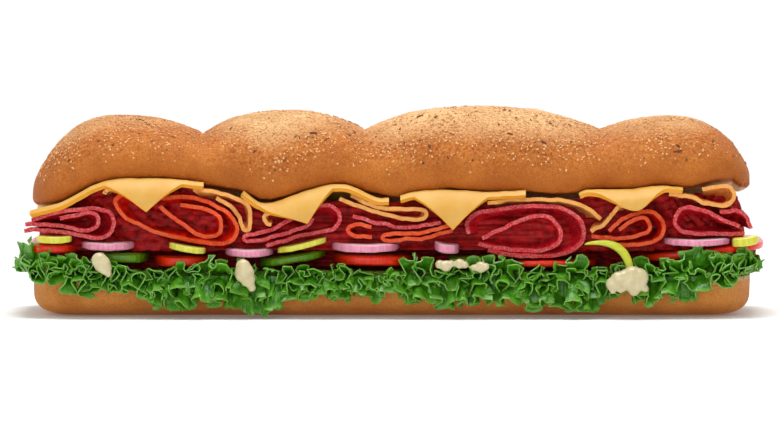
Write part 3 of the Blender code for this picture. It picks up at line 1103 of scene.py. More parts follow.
FOLDS = {
    "salami_left_outer": (
        (-148.5, 41.2), (-140.0, 43.2), (-131.0, 45.4), Bend(-121.6, 39.5, 7.8, 6.5, 85, -95),
        (-131.0, 35.2), (-141.0, 36.8), (-151.5, 36.2),
    ),
    "salami_left_inner": (
        (-136.5, 41.3), (-131.0, 43.0), Bend(-125.0, 40.4, 4.6, 3.9, 100, -100),
        (-132.5, 38.0), (-140.0, 39.2), (-151.0, 39.0),
    ),
    "pepperoni_left_outer": (
        (-97.0, 52.8), Bend(-107.8, 47.9, 6.0, 4.5, 85, 210), (-109.4, 41.9), (-103.5, 38.6),
        (-94.0, 35.2), (-82.0, 32.1), Bend(-69.8, 37.0, 7.4, 6.4, -100, 40),
        (-67.6, 44.7), (-73.0, 47.7), (-80.0, 49.7), (-87.5, 50.6), (-94.5, 50.2),
    ),
    "pepperoni_left_inner": (
        (-95.0, 46.6), (-88.0, 40.6), (-80.5, 35.3), Bend(-74.5, 39.2, 5.6, 5.6, -110, 80),
        (-80.0, 46.2), (-86.5, 47.2),
    ),
    "salami_middle_fold": (
        (-34.2, 44.3), (-39.0, 41.8), (-47.5, 37.3), (-56.0, 34.7), Bend(-58.0, 33.4, 2.0, 1.4, 100, 260),
        (-52.0, 32.6), (-44.0, 34.9), (-37.0, 36.9), (-32.4, 39.0), (-31.6, 41.6),
    ),
    "salami_middle_roll": (
        (-51.0, 30.2), (-45.0, 31.9), (-36.5, 34.2), (-29.5, 35.9),
        Bend(-26.0, 41.6, 6.2, 5.4, -75, 95), (-29.5, 47.2),
    ),
    "turkey_left_strand": (
        (-81.4, 53.4), (-74.0, 53.3), (-66.5, 51.3), Bend(-63.6, 45.4, 5.6, 3.8, 65, -5),
        (-57.0, 41.0), Bend(-59.2, 38.4, 2.0, 2.0, -10, -170), (-61.9, 42.4), (-65.0, 46.6),
        (-71.5, 50.0),
    ),
    "turkey_small_loop": ((-37.8, 46.0), (-44.0, 44.5), Bend(-48.2, 41.6, 3.6, 2.5, 110, 265)),
    "turkey_middle_fold": (
        (-20.6, 49.8), (-11.0, 46.0), (-3.0, 43.4), (6.0, 41.4), Bend(13.2, 43.3, 3.0, 2.0, -80, 80),
        (6.0, 45.2), (-2.0, 45.8), (-9.0, 47.6), (-15.5, 51.0),
    ),
    "turkey_left_curl": ((-111.6, 54.2), Bend(-114.6, 52.0, 3.4, 1.8, 90, 185)),
    "salami_middle_flat": ((-15.0, 42.4), (-6.0, 40.2), (2.0, 37.9), (10.5, 37.6), (21.5, 40.2)),
    "pepperoni_middle_fold": (
        (25.6, 38.6), (18.5, 36.4), (8.0, 35.2), Bend(-0.4, 33.7, 2.4, 1.3, 95, 265),
        (9.0, 32.6), (17.0, 33.7), (26.4, 36.2),
    ),
    "pepperoni_middle_roll": ((-7.0, 33.8), Bend(-12.6, 36.5, 4.6, 2.7, -100, -260), (-7.4, 38.2)),
    "salami_big_outer": (
        (41.5, 28.0), (50.0, 26.1), Bend(68.0, 36.0, 13.8, 10.6, -100, 75),
        (60.0, 46.8), (50.0, 46.3), Bend(41.2, 38.0, 8.9, 6.9, 110, 205),
    ),
    "salami_big_inner": (
        (38.9, 33.0), (47.0, 37.2), (54.5, 41.2), Bend(62.6, 35.5, 9.3, 7.5, 95, -90),
        (52.5, 28.1), (45.5, 29.4), (37.4, 31.0),
    ),
    "turkey_right_top": (
        (41.0, 47.8), (47.0, 49.1), (60.0, 49.6), (72.0, 49.3), (79.5, 47.9), (84.5, 44.6),
        (88.2, 41.2),
    ),
    "turkey_right_fold": ((84.2, 36.4), (89.0, 38.8), (92.6, 42.6), (95.2, 46.6), (98.8, 46.9)),
    "pepperoni_right_outer": (
        (91.5, 36.2), (97.0, 41.2), Bend(106.6, 37.9, 8.0, 7.0, 115, -75),
        (100.0, 30.7), (94.0, 30.2), (89.2, 30.9),
    ),
    "pepperoni_right_inner": (
        (95.8, 36.6), (99.6, 40.0), Bend(104.3, 38.4, 4.3, 3.7, 110, -75),
        (99.5, 33.5), (92.0, 33.1), (84.4, 34.2),
    ),
    "salami_right_outer": (
        (148.3, 35.1), (137.0, 35.1), Bend(125.0, 40.7, 6.6, 5.5, -90, -275),
        (131.0, 45.2), (138.5, 41.2), (146.0, 37.8),
    ),
    "salami_right_fold": ((137.9, 44.2), (143.0, 45.0), (147.8, 44.2), (149.6, 41.0), (150.8, 37.0)),
    "turkey_right_loop": (
        (116.5, 51.9), (124.0, 50.9), (131.0, 48.3), Bend(138.6, 51.0, 5.6, 4.4, -100, 100),
        (130.0, 53.6),
    ),
}


# Where the folds close in as they run back: the middle of each group's mouth.
HEARTS = {
    "salami_left": (-128.0, 39.6), "pepperoni_left": (-82.0, 42.0), "salami_middle_fold": (-47.0, 36.6),
    "salami_middle_roll": (-33.0, 39.5), "turkey_left_strand": (-64.0, 46.5),
    "turkey_small_loop": (-45.0, 43.4),
    "turkey_middle_fold": (2.0, 44.2), "turkey_left_curl": (-113.0, 53.0),
    "salami_middle_flat": (3.0, 41.0),
    "pepperoni_middle_fold": (10.0, 35.2), "pepperoni_middle_roll": (-10.0, 36.2),
    "salami_big": (58.0, 36.8),
    "turkey_right_top": (64.0, 46.0), "turkey_right_fold": (93.0, 43.0), "pepperoni_right": (101.0, 36.4),
    "salami_right_outer": (129.5, 40.2), "salami_right_fold": (143.5, 41.0),
    "turkey_right_loop": (133.0, 51.2),
}


@dataclass
class ColdCuts:
    """Every folded slice of meat, and the pressed meat behind their mouths."""

    draw: tuple = (0.56, 0.3)
    stacked: float = 6.0

    thick: float = 1.6
    rows: int = 48
    slices: dict[str, bpy.types.Object] = field(default_factory=dict)
    packed: list[bpy.types.Object] = field(default_factory=list)

    def draw_in(self, inside: Array) -> Array:
        """Says how far a fold has drawn in towards its heart.

        Args:
            inside: how far behind the loaf's face.

        Returns:
            The share, from 0 to 1.
        """
        return smooth(-2.0, 20.0, inside) ** 0.75

    def slice_of(self, name: str, number: int) -> bpy.types.Object:
        """Makes one slice.

        Args:
            name: the frame node that it stands for.
            number: picks its unevenness.

        Returns:
            The slice.
        """
        low, high = span(name)
        raw = fold_line(FOLDS[name], 40)
        length = float(np.linalg.norm(np.diff(raw, axis=0), axis=1).sum())
        columns = int(np.clip(length / 0.7, 24, 190))
        line = fold_line(FOLDS[name], columns + 1)
        half = span("bread_top")[1][1] - 0.4
        heart = next(place for key, place in HEARTS.items() if name.startswith(key))

        def shape(along: Array, across: Array) -> tuple[Array, Array, Array]:
            step = np.round(along * columns).astype(int)
            x, z = line[step, 0], line[step, 1]
            share = 2 * across - 1
            y = np.sign(share) * half * np.abs(share) ** 0.8
            edge = smooth(0.55, 1.0, np.abs(share))
            lip = 2.0 * ripple(along * length / 60, number) + 0.45 * ripple(along * length / 9, number + 50)
            depth = self.draw_in(half - np.abs(y)) - self.draw_in(np.zeros_like(y))
            x = heart[0] + (x - heart[0]) * (1 - (1 - self.draw[0]) * depth)
            z = heart[1] + (z - heart[1]) * (1 - (1 - self.draw[1]) * depth)
            y = y * PRESS.corner(x) + np.sign(share) * edge * lip
            z = PRESS.height(z, y) + (0.3 + 0.4 * depth) * ripple(y / 30 + along * 3, number + 9)
            x = x + edge * 0.35 * ripple(along * length / 14, number + 20)
            return x, y, z

        def rim(along: Array, across: Array) -> Array:
            return smooth(0.962, 0.99, np.abs(2 * across - 1))

        # The depth mark is 1 in the loaf's middle and 0 at the mouths; the finish paints shade with it.
        def depth(along: Array, across: Array) -> Array:
            return 1 - smooth(0.42, 0.97, np.abs(2 * across - 1))

        marks = {"rim": rim, "depth": depth}
        piece = sheet_of(name + "_slice", columns, self.rows, shape, self.thick, marks, (7.0, 1.1))
        apply_modifier(
            piece, "BEVEL", width=0.42 * MM, segments=2, limit_method="ANGLE", angle_limit=radians(60)
        )
        bpy.ops.object.shade_smooth_by_angle(angle=radians(60))
        log.info("%s spans %.0f mm", name, high[0] - low[0])
        return piece

    def backing(self, name: str, reach: tuple, bottom: float, top: float | None) -> bpy.types.Object:
        """Makes the crumpled meat that closes the view between the folds, all the way round.

        Args:
            name: the object's name.
            reach: how far it stands from the loaf's middle, along and across.
            bottom: its lower edge.
            top: its upper edge, or None where it reaches the crown.

        Returns:
            The meat.
        """
        low, high = span("bread_top")
        middle = (low[0] + high[0]) / 2

        def shape(along: Array, across: Array) -> tuple[Array, Array, Array]:
            swing, lift = np.cos(tau * along), np.sin(tau * along)
            x = middle + reach[0] * np.sign(swing) * np.abs(swing) ** 0.3
            y = reach[1] * np.sign(lift) * np.abs(lift) ** 0.3
            around = x / 26 + y / 31
            layer = across * self.stacked + 0.9 * ripple(around, 5)
            crumple = 1.9 * np.abs(np.sin(np.pi * layer)) ** 0.5 + 2.6 * ripple(around + 0.8 * across, 71)
            roof = np.interp(x, *zip(*Loaf.roof)) - 3.4 if top is None else np.full_like(x, top)
            y = y + crumple * np.sign(lift) * np.abs(lift) ** 0.3
            z = bottom + (PRESS.height(roof, y) - bottom) * across
            return x + 0.5 * crumple * swing, y * PRESS.corner(x) ** 1.3, z

        # A depth mark of 0.2 darkens the pressed meat with painted shade, as it lies inside the loaf.
        marks = {"rim": lambda u, v: np.zeros_like(u), "depth": lambda u, v: np.full_like(u, 0.2)}
        return sheet_of(name, 420, 44, shape, 1.6, marks, wrap=True)

    def build(self) -> None:
        """Makes all the slices."""
        for number, name in enumerate(FOLDS, 1):
            self.slices[name] = self.slice_of(name, number)
        self.packed = [
            self.backing("pressed_meat", (145.5, 32.5), 28.0, None),
            self.backing("pressed_meat_low", (138.0, 17.0), 19.5, 29.0),
        ]

    def dress(self, finishes: Finishes) -> None:
        """Dresses the slices.

        Args:
            finishes: lends the materials.
        """
        looks = {Meat.SALAMI: SALAMI, Meat.PEPPERONI: PEPPERONI, Meat.TURKEY: TURKEY}
        for name, piece in self.slices.items():
            kind = Meat(name.split("_")[0])
            finishes.dress(piece, kind.value, looks[kind], kind.value, name)
        for piece in self.packed:
            finishes.dress(piece, "pressed_salami", PRESSED, "salami")


@dataclass(frozen=True)
class Drape:
    """A cheese slice: its line at the rim, and the corner that hangs over."""

    line: tuple
    x: float
    left: float
    right: float
    drop: float
    round_tip: bool = False


DRAPES = {
    "cheese_1": Drape(
        ((-149.3, 43.6), (-141.0, 45.7), (-134.5, 47.6), (-128.5, 51.2), (-121.5, 54.9), (-113.5, 57.0),
         (-103.0, 57.5), (-92.0, 57.3), (-83.0, 56.2), (-76.2, 55.6)),
        -100.4, 17.5, 14.5, 13.0,
    ),
    "cheese_2": Drape(
        ((-60.8, 52.4), (-57.4, 49.6), (-53.6, 47.2), (-48.6, 46.9), (-39.0, 50.2), (-31.8, 52.8),
         (-25.1, 54.6), (-19.4, 55.1), (-14.6, 53.8), (-9.1, 51.0), (-4.0, 49.0), (0.8, 49.2)),
        -33.6, 20.0, 10.5, 12.5,
    ),
    "cheese_3": Drape(
        ((4.6, 50.0), (9.8, 51.4), (18.0, 52.4), (25.0, 52.6), (33.0, 52.2), (41.0, 51.4), (50.0, 52.0),
         (57.6, 52.2)),
        26.7, 16.0, 14.5, 15.5,
    ),
    "cheese_4": Drape(
        ((79.0, 51.4), (82.8, 52.8), (93.2, 52.4), (103.7, 53.0), (111.7, 54.5), (122.6, 53.6)),
        103.0, 20.0, 13.5, 8.0, True,
    ),
}


@dataclass
class Cheese:
    """The four cheese slices."""

    thick: float = 2.0
    rows: int = 64
    slices: dict[str, bpy.types.Object] = field(default_factory=dict)

    def slice_of(self, name: str, drape: Drape) -> bpy.types.Object:
        """Makes one slice.

        Args:
            name: the frame node that it stands for.
            drape: how it lies.

        Returns:
            The slice.
        """
        low, high = span(name)
        half = span("bread_top")[1][1]
        reach = high[1] - self.thick / 2 - half - 0.3
        line = fold_line(drape.line, 400)
        columns = 120

        def hang(x: Array) -> Array:
            left, right = 1 - (drape.x - x) / drape.left, 1 - (x - drape.x) / drape.right
            share = np.clip(np.minimum(left, right), 0, 1)
            return share * share * (3 - 2 * share) if drape.round_tip else share

        def shape(along: Array, across: Array) -> tuple[Array, Array, Array]:
            x = low[0] + 0.7 + (high[0] - low[0] - 1.4) * along
            rim = np.interp(x, line[:, 0], line[:, 1])
            share = 2 * across - 1
            out = np.clip((np.abs(share) - 0.6) / 0.4, 0, 1) * (0.16 + 0.84 * hang(x))
            flat = half * np.clip(np.abs(share) / 0.6, 0, 1) + 0.2
            y = flat * PRESS.corner(x) + reach * np.sin(np.clip(out * 1.3, 0, 1) * 1.5)
            fall = drape.drop * (0.3 * out + 0.7 * out**1.4)
            z = PRESS.height(rim, flat) - fall + 0.25 * ripple(x / 40, 8) * (1 - out)
            return x, np.sign(share) * y, z

        # The rim mark carries the cheese's painted glow along its outer edge.
        def rim(along: Array, across: Array) -> Array:
            return smooth(0.985, 1.0, np.abs(2 * across - 1))

        piece = sheet_of(name + "_slice", columns, self.rows, shape, self.thick, {"rim": rim})
        apply_modifier(
            piece, "BEVEL", width=0.35 * MM, segments=2, limit_method="ANGLE", angle_limit=radians(60)
        )
        bpy.ops.object.shade_smooth_by_angle(angle=radians(40))
        return piece

    def build(self) -> None:
        """Makes the slices."""
        for name, drape in DRAPES.items():
            self.slices[name] = self.slice_of(name, drape)

    def dress(self, finishes: Finishes) -> None:
        """Dresses the slices.

        Args:
            finishes: lends the material.
        """
        for name, piece in self.slices.items():
            finishes.dress(piece, "cheese", CHEESE, "cheese", name)


# Salad


@dataclass(frozen=True)
class Cut:
    """How a kind of vegetable slice looks: its wobble, its bulge and its tilt along x."""

    kind: str
    count: int
    wobble: float
    sides: int
    sag: float
    look: WetFinish
    square: float = 1.0


CUTS = (
    Cut("tomato", 5, 0.02, 96, 0.0, TOMATO, 0.55),
    Cut("cucumber", 3, 0.01, 96, 0.0, CUCUMBER, 0.55),
    Cut("onion", 7, 0.03, 96, 0.6, ONION, 0.8),
    Cut("pickle", 5, 0.05, 72, 0.3, PICKLE, 0.75),
)
TILTS = {"tomato_3": 1, "tomato_5": -6, "cucumber_2": -9.5, "onion_4": 8, "pickle_2": 9, "pickle_3": -13,
         "pickle_4": -8, "pickle_5": 9}


@dataclass
class Salad:
    """The slices of tomato, cucumber, onion and pickle, and the strip of pepper."""

    slices: dict[str, tuple[bpy.types.Object, Cut]] = field(default_factory=dict)
    strip: bpy.types.Object | None = None

    def slice_of(self, name: str, cut: Cut, seed: int) -> bpy.types.Object:
        """Makes one flat slice with a rounded rim.

        Args:
            name: the frame node that it stands for.
            cut: its kind.
            seed: picks its unevenness.

        Returns:
            The slice.
        """
        low, high = span(name)
        centre, half = (low + high) / 2, (high - low) / 2
        slope = -np.tan(radians(TILTS.get(name, 0)))
        thick = max(1.3, half[2] - abs(slope) * half[0])
        deselect()
        bpy.ops.mesh.primitive_uv_sphere_add(segments=cut.sides, ring_count=28, radius=1.0)
        piece = bpy.context.object
        piece.name = name + "_slice"
        ball = read_points(piece)
        turn = np.arctan2(ball[:, 1], ball[:, 0])
        polar = np.arccos(np.clip(ball[:, 2], -1, 1)) / np.pi
        wide = np.sin(polar * np.pi) ** 0.2
        round_ = 1 + cut.wobble * ripple((turn + np.pi) / tau * 2, seed, 3) * np.abs(np.sin(turn / 2))
        tall = np.sign(0.5 - polar) * (np.abs(np.cos(polar * np.pi)) ** 0.32)
        swing, lift = np.cos(turn), np.sin(turn)
        x = centre[0] + half[0] * wide * round_ * np.sign(swing) * np.abs(swing) ** cut.square
        y = centre[1] + half[1] * wide * round_ * np.sign(lift) * np.abs(lift) ** cut.square
        lean = slope * (x - centre[0])
        bow = -cut.sag * ((x - centre[0]) / half[0]) ** 2 + cut.sag * 0.4
        z = centre[2] + thick * tall + lean - bow * (cut.sag > 0) + 0.12 * ripple(x / 12, seed)
        move_points(piece, np.stack([x, y, z], axis=1))
        note(piece, "skin", smooth(0.93, 0.985, wide) * (1 - smooth(0.72, 0.98, tall)))
        face_out(piece)
        bpy.ops.object.shade_smooth()
        return piece

    def strip_of(self) -> bpy.types.Object:
        """Makes the strip of pepper: a bent bar with a rounded outer side.

        Returns:
            The strip.
        """
        low, high = span("pepper_strip")
        deselect()
        bpy.ops.mesh.primitive_uv_sphere_add(segments=28, ring_count=60, radius=1.0)
        piece = bpy.context.object
        piece.name = "pepper_strip_cut"
        ball = read_points(piece)
        share = np.arccos(np.clip(ball[:, 2], -1, 1)) / np.pi
        turn = np.arctan2(ball[:, 1], ball[:, 0])
        size = np.sin(share * np.pi) ** 0.16
        bend = radians(-62) + share * radians(76)
        x = low[0] + 0.5 + (high[0] + 3.2 - low[0]) * np.sin(share * 1.45) / np.sin(1.45)
        z = high[2] - 2.4 + 1.6 * np.sin(share * np.pi) - (high[2] - low[2] + 3.2) * share**2.3
        y = low[1] + 3.4 - 2.2 * share
        nz = np.cos(bend)
        wide = 1.75 * size * np.sin(turn)
        deep = 1.5 * size * np.cos(turn)
        x, z = x + wide * (0.35 + 0.65 * share), z + wide * nz * (1 - 0.45 * share)
        points = np.stack([x, y - deep, z], axis=1)
        move_points(piece, points)
        note(piece, "skin", smooth(-0.2, 0.5, np.cos(turn)))
        face_out(piece)
        bpy.ops.object.shade_smooth()
        return piece

    def build(self) -> None:
        """Makes all the slices and the strip."""
        for cut in CUTS:
            for number in range(1, cut.count + 1):
                name = f"{cut.kind}_{number}"
                self.slices[name] = (self.slice_of(name, cut, 31 * number), cut)
        self.strip = self.strip_of()

    def dress(self, finishes: Finishes) -> None:
        """Dresses the slices.

        Args:
            finishes: lends the materials.
        """
        for name, (piece, cut) in self.slices.items():
            finishes.dress(piece, cut.kind, cut.look, cut.kind, name)
        finishes.dress(self.strip, "pepper", PEPPER, "pepper", "pepper_strip")


# Lettuce


@dataclass(frozen=True)
class Frill:
    """One strip of ruffled leaf: where it lies, how far it reaches and what its edge follows.

    The level is 0 where its edge follows the leaf's lower outline and 1 where it follows the upper.
    """

    start: float
    end: float
    side: int
    inner: float
    reach: float
    level: float
    seed: int
    ruffle: float = 12.0
    swing: float = 3.2


@dataclass
class Lettuce:
    """Ruffled leaves that stick out between the heel and the salad, all the way round."""

    thick: float = 0.5
    rows: int = 26
    column: float = 0.46
    bed_height: float = 18.9
    crest: tuple = (
        (-154, 34), (-147, 31.6), (-138, 29), (-130, 27), (-119, 22.7), (-105, 21.9), (-88, 21),
        (-77, 25.2),
        (-70.5, 28.8), (-62, 24), (-52, 21), (-37, 20.6), (-18, 22), (-10, 20), (5, 22.7), (12, 29),
        (19.5, 25),
        (30, 23.6), (48, 26.7), (64, 22), (79, 26.5), (89, 22), (106, 25), (126, 30.7), (144, 29),
        (153, 30.7),
    )
    hem: tuple = (
        (-157, 23), (-148.5, 15.6), (-139, 18.5), (-131, 14.3), (-122, 12.2), (-104, 12.4),
        (-98, 6.5), (-85, 5.2),
        (-76, 8.4), (-68, 4.6), (-60, 6), (-52, 2.2), (-44, 5.2), (-39, 10.2), (-23, 8.8),
        (-15, 10.5), (-1, 9.7),
        (16, 6.7), (33, 6), (43, 8), (52, 6), (65, 6.7), (84, 3.8), (89, 9.5), (121, 8.8), (128, 9.7),
        (137, 15.6),
        (147, 16.4), (152.5, 21.9),
    )
    leaves: dict[str, bpy.types.Object] = field(default_factory=dict)

    def frill_of(self, frill: Frill) -> bpy.types.Object:
        """Makes one ruffled strip.

        Args:
            frill: its sizes.

        Returns:
            The strip.
        """
        length = frill.end - frill.start
        columns = int(length / self.column)

        def shape(along: Array, across: Array) -> tuple[Array, Array, Array]:
            x = frill.start + length * along
            t = across
            seed = frill.seed
            high = np.interp(x, *zip(*self.crest)) - 1.8
            low = np.interp(x, *zip(*self.hem))
            edge = low + (high - low) * frill.level + 1.6 * ripple(x / 34, seed + 4)
            phase = tau * (x / frill.ruffle + 0.6 * ripple(x / 52, seed)) + 0.9 * t
            double = tau * (x / (0.46 * frill.ruffle) + 0.5 * ripple(x / 30, seed + 1)) - 1.4 * t
            small = tau * (x / 2.9 + 0.5 * ripple(x / 17, seed + 5))
            jagged = 0.09 * ripple(x / 6.0, seed + 3) + 0.04 * np.sin(small * 0.71 + 1.0)
            reach = frill.reach * (1 + 0.16 * ripple(x / 30, seed + 2) + jagged * t**3)
            drop = self.bed_height - edge
            out = reach * (t - 0.10 * t**2)
            up = -drop * t**1.7
            lean = np.arctan2(-drop * 1.7 * t**0.7, reach)
            push = frill.swing * t**1.3 * np.sin(phase) + 0.62 * frill.swing * t**3 * np.sin(double)
            push += 0.5 * t**5 * np.sin(small)
            shift = -0.17 * frill.ruffle * t**1.3 * np.sin(2 * phase)
            shift -= 0.09 * frill.ruffle * t**3 * np.sin(2 * double)
            px = x + shift
            y = frill.inner + out - np.sin(lean) * push * 0.9
            z = self.bed_height + up + np.cos(lean) * push
            z = np.where(y < 42.0, np.maximum(z, 17.4), np.maximum(z, 0.9))
            y = y * frill.side * PRESS.corner(np.clip(px, -157, 157))
            return px, y, z

        def rim(along: Array, across: Array) -> Array:
            return smooth(0.9, 1.0, across) * 0.42

        def stem(along: Array, across: Array) -> Array:
            return 1 - smooth(0.05, 0.45, across)

        marks = {"rim": rim, "stem": stem}
        return sheet_of(f"frill_{frill.seed}", columns, self.rows, shape, self.thick, marks, (3.4, 1.5))

    def end_frill(self, side: int, seed: int) -> bpy.types.Object:
        """Makes the ruffled leaf that sticks out of an end.

        Args:
            side: -1 for the left end, 1 for the right.
            seed: picks its unevenness.

        Returns:
            The strip.
        """
        piece = self.frill_of(Frill(-31, 31, -1, 0.0, 13.0, 0.75, seed, 13.0, 3.6))
        points = read_points(piece) / MM
        out = np.minimum(143.0 - points[:, 1], 159.5)
        move_points(piece, np.stack([side * out, points[:, 0], points[:, 2] + 1.5], axis=1))
        return piece

    def build(self) -> None:
        """Makes the leaves, each in layers that hang, stand out and stand up."""
        half = span("bread_bottom")[1][1]
        layers = ((8.0, 16.0, 0.0, 13.0, 3.2), (7.0, 15.0, 0.3, 11.0, 3.4), (6.5, 13.0, 0.62, 12.0, 3.4),
                  (6.0, 10.5, 0.95, 10.5, 2.6))
        for number in range(1, 5):
            name = f"lettuce_{number}"
            low, high = span(name)
            start, end = low[0], high[0]
            seed = 100 * number
            strips = []
            for side in (-1, 1):
                for step, (back, reach, level, ruffle, swing) in enumerate(layers):
                    strips.append(Frill(start - 3 + step, end + 3 - step, side, half - back, reach, level,
                                        seed + 10 * step + side, ruffle, swing))
            pieces = [self.frill_of(self.inside(strip)) for strip in strips]
            if number in (1, 4):
                pieces.append(self.end_frill(-1 if number == 1 else 1, seed + 51))
            pieces.append(self.bed(start, end, seed))
            self.leaves[name] = join(pieces, name + "_leaf")

    def inside(self, strip: Frill) -> Frill:
        """Keeps a strip within the ends of the sandwich.

        Args:
            strip: the strip.

        Returns:
            The strip, shortened where it would stick out.
        """
        start, end = max(strip.start, -152.0), min(strip.end, 152.0)
        return Frill(start, end, strip.side, strip.inner, strip.reach, strip.level, strip.seed, strip.ruffle,
                     strip.swing)

    def bed(self, start: float, end: float, seed: int) -> bpy.types.Object:
        """Makes the flat part of a leaf, under the salad.

        Args:
            start, end: where it lies along the loaf.
            seed: picks its unevenness.

        Returns:
            The bed.
        """

        def shape(along: Array, across: Array) -> tuple[Array, Array, Array]:
            x = np.clip(start + (end - start) * along, -152, 152)
            y = 37.0 * (2 * across - 1)
            z = 18.6 + 0.7 * ripple(x / 20 + across, seed) + 0.4 * np.sin(y / 3)
            return x, y * PRESS.corner(x), z

        return sheet_of(
            f"bed_{seed}", 60, 30, shape, self.thick,
            {"rim": lambda u, v: np.zeros_like(u), "stem": lambda u, v: np.full_like(u, 0.6)},
        )

    def dress(self, finishes: Finishes) -> None:
        """Dresses the leaves.

        Args:
            finishes: lends the material.
        """
        for name, piece in self.leaves.items():
            finishes.dress(piece, "lettuce", LeafFinish(), "lettuce", name)


# Sauce


@dataclass(frozen=True)
class Lump:
    """One lump of sauce, in shares of its drop's box, from -1 to 1."""

    x: float
    z: float
    size: float


DROPS = {
    "sauce_1": (Lump(-0.45, 0.55, 0.62), Lump(-0.05, 0.1, 0.66), Lump(0.35, -0.4, 0.5),
        Lump(0.6, -0.85, 0.26)),
    "sauce_2": (Lump(-0.35, 0.62, 0.55), Lump(-0.2, 0.1, 0.72), Lump(0.25, -0.4, 0.55),
        Lump(0.6, -0.9, 0.3)),
    "sauce_3": (Lump(-0.9, 0.2, 0.62), Lump(-0.66, -0.2, 0.78), Lump(-0.42, 0.35, 0.5),
        Lump(-0.1, 0.45, 0.7),
                Lump(0.12, 0.1, 0.5), Lump(0.45, -0.5, 0.45), Lump(0.78, -0.6, 0.8), Lump(0.95, -0.3, 0.5)),
    "sauce_4": (Lump(-0.82, -0.3, 0.4), Lump(-0.5, 0.05, 0.52), Lump(-0.15, 0.15, 0.58),
        Lump(0.25, 0.5, 0.6),
                Lump(0.6, 0.3, 0.6), Lump(0.2, -0.05, 0.62), Lump(0.55, -0.25, 0.5), Lump(0.3, -0.82, 0.34),
                Lump(-0.35, -0.62, 0.28), Lump(-0.72, -0.75, 0.2), Lump(0.82, -0.62, 0.22)),
    "sauce_5": (Lump(-0.4, 0.6, 0.55), Lump(0.0, 0.0, 0.72), Lump(0.4, -0.6, 0.45)),
    "sauce_6": (Lump(-0.6, 0.0, 0.6), Lump(0.0, 0.35, 0.65), Lump(0.55, 0.1, 0.6), Lump(0.1, -0.4, 0.55)),
}


@dataclass
class Sauce:
    """The drops of creamy sauce."""

    grain: float = 0.42
    drops: dict[str, bpy.types.Object] = field(default_factory=dict)

    def drop_of(self, name: str, lumps: Sequence[Lump]) -> bpy.types.Object:
        """Makes one drop from lumps that run together.

        Args:
            name: the frame node that it stands for.
            lumps: the lumps.

        Returns:
            The drop.
        """
        low, high = span(name)
        centre, half = (low + high) / 2, (high - low) / 2
        balls = []
        for lump in lumps:
            deselect()
            size = lump.size * min(half[0], half[2]) * 1.12
            aside = lump.x * (half[0] - size * 0.6)
            above = lump.z * (half[2] - size * 0.6)
            place = (centre[0] + aside, centre[1], centre[2] + above)
            bpy.ops.mesh.primitive_uv_sphere_add(segments=24, ring_count=16, radius=1.0)
            ball = bpy.context.object
            points = read_points(ball) * [size, max(2.4, size * 0.85), size] + place
            move_points(ball, points)
            balls.append(ball)
        drop = join(balls, name + "_drop")
        apply_modifier(drop, "REMESH", mode="VOXEL", voxel_size=self.grain * MM)
        apply_modifier(drop, "SMOOTH", factor=0.6, iterations=9)
        face_out(drop)
        bpy.ops.object.shade_smooth()
        return drop

    def build(self) -> None:
        """Makes the drops."""
        for name, lumps in DROPS.items():
            self.drops[name] = self.drop_of(name, lumps)

    def dress(self, finishes: Finishes) -> None:
        """Dresses the drops.

        Args:
            finishes: lends the material.
        """
        for name, piece in self.drops.items():
            finishes.dress(piece, "sauce", SAUCE, "sauce", name)


# Studio


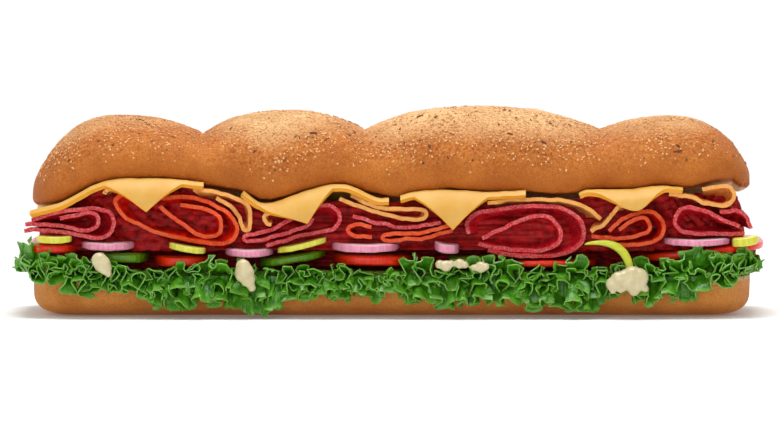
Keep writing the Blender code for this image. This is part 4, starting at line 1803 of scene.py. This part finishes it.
@dataclass
class Studio:
    """A plain pale floor and backdrop, soft light from above, and the camera."""

    distance: float = 3.0
    frame_width: float = 0.3283
    elevation: float = 3.0
    aim: float = 39.2
    backdrop: float = 0.5
    plain_floor: tuple = (0.5, 0.95)

    def build(self) -> None:
        """Makes the studio."""
        floor = self.surface_of("floor", (0, 0, 0), 0, (0.86, 0.86, 0.86, 1), 0.1)
        self.whiten_far(floor)
        backdrop = self.surface_of("backdrop", (0, self.backdrop, 1.0), 90, (0, 0, 0, 1), 1.02)
        self.open_back(backdrop)
        self.surround(0.32)
        self.light("overhead", (0, -0.12, 0.95), 0.7, 9.3)
        self.light("front", (-0.25, -1.5, 0.5), 0.9, 5.2)

    def whiten_far(self, floor: bpy.types.Material) -> None:
        """Makes the floor glow white away from the sandwich, where the lights don't reach.

        Args:
            floor: the floor's material.
        """
        nodes, links = floor.node_tree.nodes, floor.node_tree.links
        place = nodes.new("ShaderNodeTexCoord")
        away = nodes.new("ShaderNodeVectorMath")
        away.operation = "LENGTH"
        grow = nodes.new("ShaderNodeMapRange")
        grow.interpolation_type = "SMOOTHSTEP"
        for socket, value in zip(("From Min", "From Max", "To Min", "To Max"), (*self.plain_floor, 0.1, 1.0)):
            grow.inputs[socket].default_value = value
        links.new(place.outputs["Object"], away.inputs[0])
        links.new(away.outputs["Value"], grow.inputs["Value"])
        links.new(grow.outputs["Result"], nodes["Principled BSDF"].inputs["Emission Strength"])

    def open_back(self, backdrop: bpy.types.Material) -> None:
        """Leaves the backdrop clear from behind, so that the sandwich's back can be looked at.

        Args:
            backdrop: the backdrop's material.
        """
        nodes, links = backdrop.node_tree.nodes, backdrop.node_tree.links
        side = nodes.new("ShaderNodeNewGeometry")
        clear = nodes.new("ShaderNodeBsdfTransparent")
        either = nodes.new("ShaderNodeMixShader")
        links.new(side.outputs["Backfacing"], either.inputs[0])
        links.new(nodes["Principled BSDF"].outputs["BSDF"], either.inputs[1])
        links.new(clear.outputs["BSDF"], either.inputs[2])
        links.new(either.outputs["Shader"], nodes["Material Output"].inputs["Surface"])

    def surround(self, strength: float) -> None:
        """Surrounds the scene with plain white, which lights it softly.

        Args:
            strength: how strongly it lights the sandwich.
        """
        world = bpy.data.worlds.new("studio")
        world.use_nodes = True
        nodes, links = world.node_tree.nodes, world.node_tree.links
        nodes["Background"].inputs["Color"].default_value = (1, 1, 1, 1)
        ray = nodes.new("ShaderNodeLightPath")
        share = nodes.new("ShaderNodeMapRange")
        share.inputs["To Min"].default_value = strength
        share.inputs["To Max"].default_value = 1.0
        links.new(ray.outputs["Is Camera Ray"], share.inputs["Value"])
        links.new(share.outputs["Result"], nodes["Background"].inputs["Strength"])
        bpy.context.scene.world = world

    def surface_of(
        self, name: str, place: tuple, tilt: float, colour: tuple, glow: float
    ) -> bpy.types.Material:
        """Adds the floor or the backdrop.

        Args:
            name: its name.
            place: its middle.
            tilt: how far it is turned about x, in degrees.
            colour: its base colour.
            glow: how bright it is by itself.

        Returns:
            Its material.
        """
        white = bpy.data.materials.new("studio_" + name)
        white.use_nodes = True
        shader = white.node_tree.nodes["Principled BSDF"]
        shader.inputs["Base Color"].default_value = colour
        shader.inputs["Roughness"].default_value = 0.9
        shader.inputs["Specular IOR Level"].default_value = 0.0
        shader.inputs["Emission Color"].default_value = (1, 1, 1, 1)
        shader.inputs["Emission Strength"].default_value = glow
        deselect()
        bpy.ops.mesh.primitive_plane_add(size=6.0, location=place, rotation=(radians(tilt), 0, 0))
        made = bpy.context.object
        made.name = name
        made.data.materials.append(white)
        return white

    def light(self, name: str, place: tuple[float, float, float], size: float, power: float) -> None:
        """Adds a square soft light aimed at the sandwich.

        Args:
            name: its name.
            place: where it hangs.
            size: how wide it is.
            power: how strong it is.
        """
        lamp = bpy.data.lights.new(name, "AREA")
        lamp.size = size
        lamp.energy = power
        made = bpy.data.objects.new(name, lamp)
        made.location = place
        made.rotation_mode = "QUATERNION"
        made.rotation_quaternion = (Vector((0, 0, 0.04)) - Vector(place)).to_track_quat("-Z", "Y")
        bpy.context.scene.collection.objects.link(made)

    def shoot(self) -> None:
        """Sets up the camera."""
        lens = bpy.data.cameras.new("camera")
        lens.sensor_width = 36.0
        lens.lens = 36.0 * self.distance / self.frame_width
        lens.dof.use_dof = False
        lens.clip_start, lens.clip_end = 0.01, 20.0
        camera = bpy.data.objects.new("camera", lens)
        angle = radians(self.elevation)
        target = Vector((0.0006, 0, self.aim * MM))
        back = Vector((0, -np.cos(angle), np.sin(angle)))
        camera.location = target + back * self.distance
        camera.rotation_mode = "QUATERNION"
        camera.rotation_quaternion = (-back).to_track_quat("-Z", "Y")
        bpy.context.scene.collection.objects.link(camera)
        bpy.context.scene.camera = camera
        bpy.context.scene.view_settings.view_transform = "Standard"


def main() -> None:
    """Builds and dresses the sandwich in order, then sets it in the studio."""
    logging.basicConfig(level=logging.INFO, format="%(name)s: %(message)s")
    finishes = Finishes()
    for part in (Loaf(), Cheese(), ColdCuts(), Salad(), Lettuce(), Sauce()):
        part.build()
        part.dress(finishes)
    studio = Studio()
    studio.build()
    studio.shoot()


if __name__ == "__main__":
    main()
